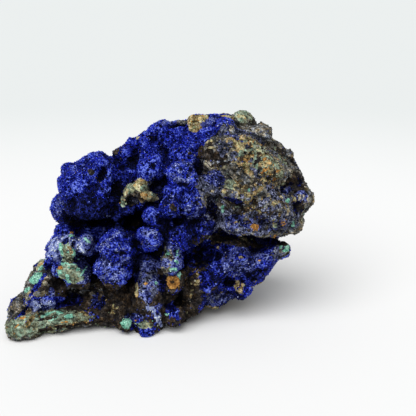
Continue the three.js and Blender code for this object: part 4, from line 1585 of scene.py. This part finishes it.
@dataclass
class OreBody:
    """The specimen's body: the form of its solid, with buds, chips and pores. Sizes are in millimetres.

    The gaps between its lumps are deepened by a share that changes between two heights. Widths of hollows
    and of the deepening are rounds of smoothing. A hollow is told by the depth of a point below its
    surroundings and by how few of sky_rays are free for sky_reach, read over sky_span. How hollow a point
    is sets the painted shade of the finish and the grains there.
    """

    view: FrontView
    finish: OreFinish
    seed: int = 21
    first_voxel: float = 0.8
    voxel: float = 0.74
    rounding: int = 3
    deepening: tuple[float, float] = (0.45, 0.3)
    deepening_heights: tuple[float, float] = (38.0, 54.0)
    deepening_width: int = 60
    swell: float = 0.6
    swell_size: float = 7.0
    bud_tries: int = 16000
    bud_radius: tuple[float, float] = (0.9, 3.2)
    bud_skew: float = 2.2
    bud_spread: float = 0.12
    bud_jitter: float = 0.04
    bud_gap: float = 1.45
    bud_sink: float = 0.5
    bud_room: float = 0.7
    bud_shun: float = 0.9
    bud_hollow: tuple[float, float] = (-0.1, 0.4)
    bud_hollow_width: int = 20
    chip_count: int = 4500
    chip_radius: tuple[float, float] = (0.6, 1.9)
    chip_skew: float = 2.5
    chip_width: float = 0.55
    chip_spread: float = 0.75
    chip_sink: float = 0.35
    chip_jitter: float = 0.12
    rough_size: float = 3.0
    ridge_size: float = 3.4
    ridge_length: float = 2.2
    pore_size: float = 3.6
    pore_share: float = 0.2
    pore_edge: tuple[float, float] = (0.42, 0.12)
    pore_depth: float = 1.0
    stone_relief: float = 0.36
    plate_relief: float = 0.25
    bed_height: float = 2.6
    bed_step: float = 0.6
    bed_edge: tuple[float, float] = (0.1, 0.5)
    bed_wave: float = 0.8
    bed_wave_size: float = 6.0
    bed_tilt: float = 0.1
    hollow_depth: tuple[float, float] = (-0.05, 0.4)
    hollow_width: int = 10
    hollow_shade: float = 0.8
    sky_rays: int = 14
    sky_reach: float = 9.0
    sky_rounding: int = 2
    sky_span: tuple[float, float] = (0.2, 1.0)
    stone_light: float = 0.35
    crest_height: float = 0.25
    crest_width: int = 5

    def build(self, node: bpy.types.Object) -> Ground:
        """Makes the body.

        Args:
            node: The solid that it stands for.

        Returns:
            The ground that it gives to the grains.
        """
        random = np.random.default_rng(self.seed)
        core, minerals = self.core(node)
        depth = smooth_step(*self.bud_hollow, core.hollows(self.bud_hollow_width))
        rough = Ground(core, minerals.weights(core.points), depth)
        lumps = [core, self.buds(rough, random), self.chips(rough, random)]
        shape = Shape.joined(lumps).remeshed(self.voxel)
        shape = shape.lifted(self.relief(shape.points, minerals))
        shape.points[:, 2] = np.maximum(shape.points[:, 2], 0)
        ground = Ground(shape, MineralMap(self.view, shape).weights(shape.points), self.hollow(shape))
        # Hollows on stone and plate count less, so they get less painted shade and shun grains less
        ground.hollow *= 1 - self.stone_light * ground.of((*STONE, *PLATE))
        self.dress(ground)
        return ground

    def core(self, node: bpy.types.Object) -> tuple[Shape, MineralMap]:
        """Makes the body's main form, with room for buds on its blue parts.

        Args:
            node: The solid that it follows.

        Returns:
            The form, and the map of its minerals.
        """
        core = Shape.of_mesh(node.data).remeshed(self.first_voxel)
        core = Shape(core.averaged(core.points, self.rounding), core.faces)
        minerals = MineralMap(self.view, core)
        broad = core.averaged(core.points, self.deepening_width)
        low, high = self.deepening
        deepening = low + (high - low) * smooth_step(*self.deepening_heights, core.points[:, 2])
        core = Shape(core.points + deepening[:, None] * (core.points - broad), core.faces)
        core = core.lifted(self.swell * Noise(NoiseSeed.SWELL).fractal(core.points, self.swell_size, 3))
        core = minerals.sculpted(core)
        blue = amount(minerals.weights(core.points), BLUE)
        return core.lifted(-self.bud_room * blue), minerals

    def hollow(self, shape: Shape) -> np.ndarray:
        """How hollow the surface is at each point, from 0 to 1."""
        narrow = smooth_step(*self.hollow_depth, shape.hollows(self.hollow_width))
        sky = shape.averaged(shape.openness(self.sky_rays, self.sky_reach), self.sky_rounding)
        return 1 - (1 - self.hollow_shade * narrow) * smooth_step(*self.sky_span, sky)

    def dress(self, ground: Ground) -> None:
        """Makes the piece that stands for the solid.

        The weights that it keeps are shares of what is left by the minerals that come later, since its
        finish lays them over each other in that order.

        Args:
            ground: The body's surface.
        """
        below = np.cumsum(ground.weights, axis=1) + LEAST_WEIGHT
        values = {
            mineral.name.lower(): ground.of((mineral,)) / below[:, mineral.value] for mineral in Mineral
        }
        # crest carries the finish's painted highlight on what stands out, and hollow its painted shade
        crest = -ground.shape.hollows(self.crest_width) / self.crest_height
        values.update(hollow=ground.hollow, crest=np.clip(crest, -1, 1))
        piece = place_piece("specimen_body", ground.shape, self.finish.build(), values)
        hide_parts(NODE)

    def buds(self, ground: Ground, random: np.random.Generator) -> Shape:
        """Round buds, packed over the azurite but not in its hollows.

        Args:
            ground: What they grow on.
            random: Where the chances come from.

        Returns:
            All the buds.
        """
        chance = ground.of(BLUE) ** 2 * (1 - self.bud_shun * ground.hollow)
        seeds = Seeds.sown(ground.shape, chance, self.bud_tries, random)
        radius = skewed(self.bud_radius, self.bud_skew, self.bud_tries, random)
        keep = seeds.spaced(self.bud_gap * radius)
        seeds, radius = seeds.only(keep), radius[keep]
        LOG.info("buds: %d", len(radius))
        places = seeds.places - seeds.normals * (self.bud_sink * radius)[:, None]
        sizes = radius[:, None] * (1 + self.bud_spread * random.normal(size=(len(radius), 3)))
        return stamped(ball(2), places, frames_on(seeds.normals, random), sizes, self.bud_jitter, random)

    def chips(self, ground: Ground, random: np.random.Generator) -> Shape:
        """Angular chips, scattered over the bare rock.

        Args:
            ground: What they lie in.
            random: Where the chances come from.

        Returns:
            All the chips.
        """
        seeds = Seeds.sown(ground.shape, ground.of(STONE), self.chip_count, random)
        radius = skewed(self.chip_radius, self.chip_skew, self.chip_count, random)
        widths = self.chip_width + self.chip_spread * random.random((self.chip_count, 3))
        places = seeds.places - seeds.normals * (self.chip_sink * radius)[:, None]
        frames = frames_on(random_directions(self.chip_count, random), random)
        return stamped(spindle(0), places, frames, radius[:, None] * widths, self.chip_jitter, random)

    def relief(self, points: np.ndarray, minerals: MineralMap) -> np.ndarray:
        """How far the fine relief lifts each point, in millimetres.

        Args:
            points: Places on the surface.
            minerals: The map of its minerals.

        Returns:
            One height per point, below zero in a pore.
        """
        weights = minerals.weights(points)
        blue, stone, plate = (amount(weights, kinds) for kinds in (BLUE, STONE, PLATE))
        rough = Noise(NoiseSeed.ROUGH).fractal(points, self.rough_size, 3)
        slant = math.radians(Effects.streak_turn)
        along = points @ np.array([math.cos(slant), 0, -math.sin(slant)])
        across = points @ np.array([math.sin(slant), 0, math.cos(slant)])
        layered = np.stack([along / self.ridge_length, points[:, 1], across], axis=1)
        ridges = 1 - 2 * np.abs(Noise(NoiseSeed.RIDGE).fractal(layered, self.ridge_size, 3))
        near, name = Noise(NoiseSeed.PORE).cells(points, self.pore_size)
        pores = smooth_step(*self.pore_edge, near) * (name < self.pore_share)
        wave = self.bed_wave * Noise(NoiseSeed.BED).fractal(points, self.bed_wave_size, 3)
        beds = (points[:, 2] + wave + self.bed_tilt * points[:, 0]) / self.bed_height
        steps = self.bed_step * smooth_step(*self.bed_edge, beds % 1)
        height = stone * self.stone_relief * (rough + ridges) + plate * (self.plate_relief * rough + steps)
        return height - self.pore_depth * blue * pores


@dataclass(frozen=True)
class Tone:
    """A colour that the grains of a mineral can have, and how many of them have it."""

    colour: Colour
    share: float


# The palest blue tones are partly real pale crystals and partly painted glints
TONES = {
    Mineral.AZURITE: (
        Tone((0.004, 0.009, 0.20), 3), Tone((0.010, 0.020, 0.50), 4), Tone((0.035, 0.06, 0.80), 2),
        Tone((0.22, 0.29, 0.92), 0.6), Tone((0.14, 0.09, 0.03), 0.2),
    ),
    Mineral.PAINTED_SHADE_AND_DARK_BLUE: (
        Tone((0.003, 0.004, 0.02), 4), Tone((0.006, 0.01, 0.09), 2), Tone((0.03, 0.045, 0.35), 0.4),
    ),
    Mineral.TAN: (
        Tone((0.42, 0.34, 0.20), 3), Tone((0.36, 0.40, 0.28), 1.5), Tone((0.45, 0.22, 0.06), 1),
        Tone((0.10, 0.07, 0.04), 1.5), Tone((0.58, 0.54, 0.42), 1),
    ),
    Mineral.DUSTY_AND_PAINTED_HIGHLIGHT: (
        Tone((0.02, 0.03, 0.28), 3), Tone((0.07, 0.10, 0.52), 3), Tone((0.20, 0.24, 0.70), 2),
        Tone((0.48, 0.53, 0.88), 1), Tone((0.20, 0.13, 0.05), 0.2),
    ),
    Mineral.MATRIX: (
        Tone((0.015, 0.014, 0.013), 4), Tone((0.07, 0.06, 0.05), 3), Tone((0.16, 0.15, 0.135), 3),
        Tone((0.38, 0.37, 0.35), 1.6), Tone((0.28, 0.20, 0.10), 0.8), Tone((0.05, 0.06, 0.22), 0.7),
        Tone((0.16, 0.24, 0.19), 0.6),
    ),
    Mineral.SLATE: (
        Tone((0.012, 0.013, 0.02), 3), Tone((0.05, 0.055, 0.11), 3), Tone((0.12, 0.13, 0.24), 2),
        Tone((0.30, 0.32, 0.40), 0.8), Tone((0.20, 0.14, 0.07), 0.5),
    ),
    Mineral.EARTH: (
        Tone((0.38, 0.28, 0.13), 3), Tone((0.45, 0.22, 0.06), 1.5), Tone((0.20, 0.24, 0.15), 2.4),
        Tone((0.07, 0.045, 0.024), 2.5), Tone((0.015, 0.013, 0.011), 2), Tone((0.50, 0.47, 0.36), 1),
    ),
    Mineral.SOOT_AND_PAINTED_SHADE: (
        Tone((0.006, 0.005, 0.005), 4), Tone((0.025, 0.019, 0.014), 3), Tone((0.07, 0.05, 0.032), 1),
        Tone((0.02, 0.025, 0.10), 0.5),
    ),
    Mineral.SAGE: (
        Tone((0.10, 0.11, 0.07), 2), Tone((0.22, 0.26, 0.17), 3), Tone((0.34, 0.38, 0.27), 2),
        Tone((0.30, 0.16, 0.05), 0.5),
    ),
    Mineral.MALACHITE: (
        Tone((0.08, 0.26, 0.19), 2), Tone((0.16, 0.42, 0.31), 3), Tone((0.40, 0.68, 0.55), 2),
    ),
    Mineral.RUST: (
        Tone((0.50, 0.26, 0.07), 3), Tone((0.28, 0.12, 0.03), 2), Tone((0.66, 0.44, 0.18), 1),
    ),
    Mineral.CHALK: (
        Tone((0.62, 0.68, 0.72), 3), Tone((0.30, 0.36, 0.52), 1),
    ),
}


def grain_tones(weights: np.ndarray, kinds: tuple[Mineral, ...], random: np.random.Generator,
                spread: float = 0.22) -> np.ndarray:
    """Picks a colour for each grain from the minerals that lie under it.

    Args:
        weights: The minerals under each grain.
        kinds: The minerals that it may be.
        random: Where the chances come from.
        spread: How much lighter or darker than its tone a grain may be.

    Returns:
        One colour per grain.
    """
    ladder = np.cumsum(weights[:, [kind.value for kind in kinds]] + LEAST_WEIGHT, axis=1)
    chosen = (random.random((len(weights), 1)) * ladder[:, -1:] > ladder).sum(axis=1)
    colours = np.zeros((len(weights), 3))
    for i, kind in enumerate(kinds):
        tones = TONES[kind]
        shares = np.array([tone.share for tone in tones])
        picks = random.choice(len(tones), len(weights), p=shares / shares.sum())
        palette = np.array([tone.colour for tone in tones])
        colours = np.where((chosen == i)[:, None], palette[picks], colours)
    return colours * np.exp(spread * random.normal(size=(len(weights), 1)))


@dataclass
class Crust:
    """Grains of one kind that grow on the body. Sizes are in millimetres.

    stamp is the form of a grain. length and slimness are the ranges of its half length and of its half
    width as a share of that, lean how far it leans at random, lift how far its middle stands off the
    surface, and shade how dark its painted shade is in a hollow. Grains shun hollows and keep least_height
    above the floor. Each grain is painted darker at its root and lighter at its tip: its middle has
    middle_light and its tip as much more as tip_light.
    """

    name: str
    finish: GrainFinish
    kinds: tuple[Mineral, ...]
    stamp: Shape
    seed: int
    count: int
    length: tuple[float, float]
    slimness: tuple[float, float]
    lean: float
    lift: float
    shade: float
    skew: float = 1.6
    shun: float = 0.6
    jitter: float = 0.08
    least_height: float = 0.8
    middle_light: float = 0.65
    tip_light: float = 0.35

    def build(self, ground: Ground) -> None:
        """Makes the piece.

        Args:
            ground: The surface that the grains grow on.
        """
        random = np.random.default_rng(self.seed)
        clear = ground.shape.points[:, 2] > self.least_height
        chance = ground.of(self.kinds) ** 2 * clear * (1 - self.shun * ground.hollow)
        seeds = Seeds.sown(ground.shape, chance, self.count, random)
        length = skewed(self.length, self.skew, self.count, random)
        slim = random.uniform(*self.slimness, size=(self.count, 2))
        axes = seeds.normals + self.lean * random.normal(size=(self.count, 3))
        axes /= np.linalg.norm(axes, axis=1, keepdims=True)
        sizes = np.concatenate([slim * length[:, None], length[:, None]], axis=1)
        places = seeds.places + axes * (self.lift * length)[:, None]
        shape = stamped(self.stamp, places, frames_on(axes, random), sizes, self.jitter, random)
        shape.points[:, 2] = np.maximum(shape.points[:, 2], 0)
        weights, hollow = ground.weights[seeds.nearest], ground.hollow[seeds.nearest]
        # Painted shade: grains in hollows are darkened, and each grain is painted darker at its root and
        # lighter at its tip
        colours = grain_tones(weights, self.kinds, random) * (1 - self.shade * hollow)[:, None]
        light = np.clip(self.middle_light + self.tip_light * self.stamp.points[:, 2], 0, 1)
        tints = (colours[:, None] * light[None, :, None]).reshape(-1, 3)
        place_piece(self.name, shape, self.finish.build(), {"tint": tints})


@dataclass(frozen=True)
class Studio:
    """A pale floor under soft light from above. Sizes are in metres.

    The floor's colour changes over floor_fade from its middle. The camera sees the surround with
    backdrop_strength.
    """

    floor_radius: float = 30.0
    floor_sides: int = 96
    floor_roughness: float = 0.9
    floor_drop: float = 0.0001
    floor_colour: Colour = (0.72, 0.72, 0.715)
    floor_back_colour: Colour = (0.617, 0.637, 0.631)
    floor_fade: tuple[float, float] = (0.12, 0.6)
    world_colour: Colour = (0.97, 0.985, 1.0)
    world_strength: float = 0.45
    backdrop_strength: float = 0.86
    lamp_from: tuple[float, float, float] = (-0.3, -0.8, 1.0)
    lamp_spread: float = 60.0
    lamp_strength: float = 1.21

    def build(self) -> None:
        """Makes the floor and the lights."""
        scene = bpy.context.scene
        scene.view_settings.view_transform = "Standard"
        world = bpy.data.worlds.new("soft_surround")
        world.use_nodes = True
        graph = Graph(world.node_tree)
        seen = graph.add("ShaderNodeLightPath").outputs["Is Camera Ray"]
        strength = graph.span(seen, 0.0, 1.0, self.world_strength, self.backdrop_strength)
        graph.feed(world.node_tree.nodes["Background"], {"Color": self.world_colour, "Strength": strength})
        scene.world = world
        data = bpy.data.lights.new("overhead", "SUN")
        data.angle = math.radians(self.lamp_spread)
        data.energy = self.lamp_strength * math.pi
        lamp = linked("overhead", data)
        lamp.rotation_euler = Vector(self.lamp_from).to_track_quat("Z", "Y").to_euler()
        self.lay_floor()

    def lay_floor(self) -> None:
        """Lays the floor."""
        grid = bmesh.new()
        bmesh.ops.create_circle(grid, cap_ends=True, segments=self.floor_sides, radius=self.floor_radius)
        mesh = bpy.data.meshes.new("pale_floor")
        grid.to_mesh(mesh)
        grid.free()
        paint, graph, shader = new_material("pale_floor")
        place = graph.add("ShaderNodeTexCoord").outputs["Object"]
        away = graph.add("ShaderNodeVectorMath", {"operation": "LENGTH"}, {0: place}).outputs["Value"]
        share = graph.span(away, *self.floor_fade, 0.0, 1.0)
        colour = graph.mix(share, self.floor_colour, self.floor_back_colour)
        inputs = {"Base Color": colour, "Roughness": self.floor_roughness, "Specular IOR Level": 0.0}
        graph.feed(shader, inputs)
        mesh.materials.append(paint)
        floor = linked("pale_floor", mesh)
        floor.location.z = -self.floor_drop


def grow_crusts(effects: Effects, ground: Ground) -> None:
    """Grows the grains that cover the body.

    Args:
        effects: The effects that their finishes share.
        ground: The body's surface.
    """
    crystal = GrainFinish(effects, "azurite_crystal", gloss=(0.25, 0.5), specular=0.06)
    grain = GrainFinish(effects, "matrix_grain", gloss=(0.5, 0.85), specular=0.12)
    bead = GrainFinish(effects, "malachite_bead", gloss=(0.35, 0.6), specular=0.15)
    stone = (*STONE, Mineral.SAGE, Mineral.RUST, Mineral.CHALK)
    crusts = (
        Crust("azurite_druse_1", crystal, BLUE, spindle(0.2), seed=31, count=22000, length=(0.2, 0.45),
              slimness=(0.4, 0.7), lean=0.55, lift=0.15, shade=0.95),
        Crust("matrix_grit_1", grain, stone, spindle(0), seed=41, count=7000, length=(0.2, 0.6),
              slimness=(0.5, 0.9), lean=0.9, lift=0.1, shade=0.7),
        Crust("malachite_beads_1", bead, (Mineral.MALACHITE,), ball(1), seed=51, count=700,
              length=(0.15, 0.3), slimness=(0.8, 1.1), lean=0.4, lift=0.1, shade=0.6),
    )
    for crust in crusts:
        crust.build(ground)


def main() -> None:
    """Builds the specimen and its studio."""
    logging.basicConfig(level=logging.INFO, format="%(name)s: %(message)s")
    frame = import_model()
    view = FrontView()
    view.build()
    Studio().build()
    effects = Effects()
    body = OreBody(view, OreFinish(effects))
    ground = body.build(frame["nodes"][NODE])
    grow_crusts(effects, ground)


if __name__ == "__main__":
    main()
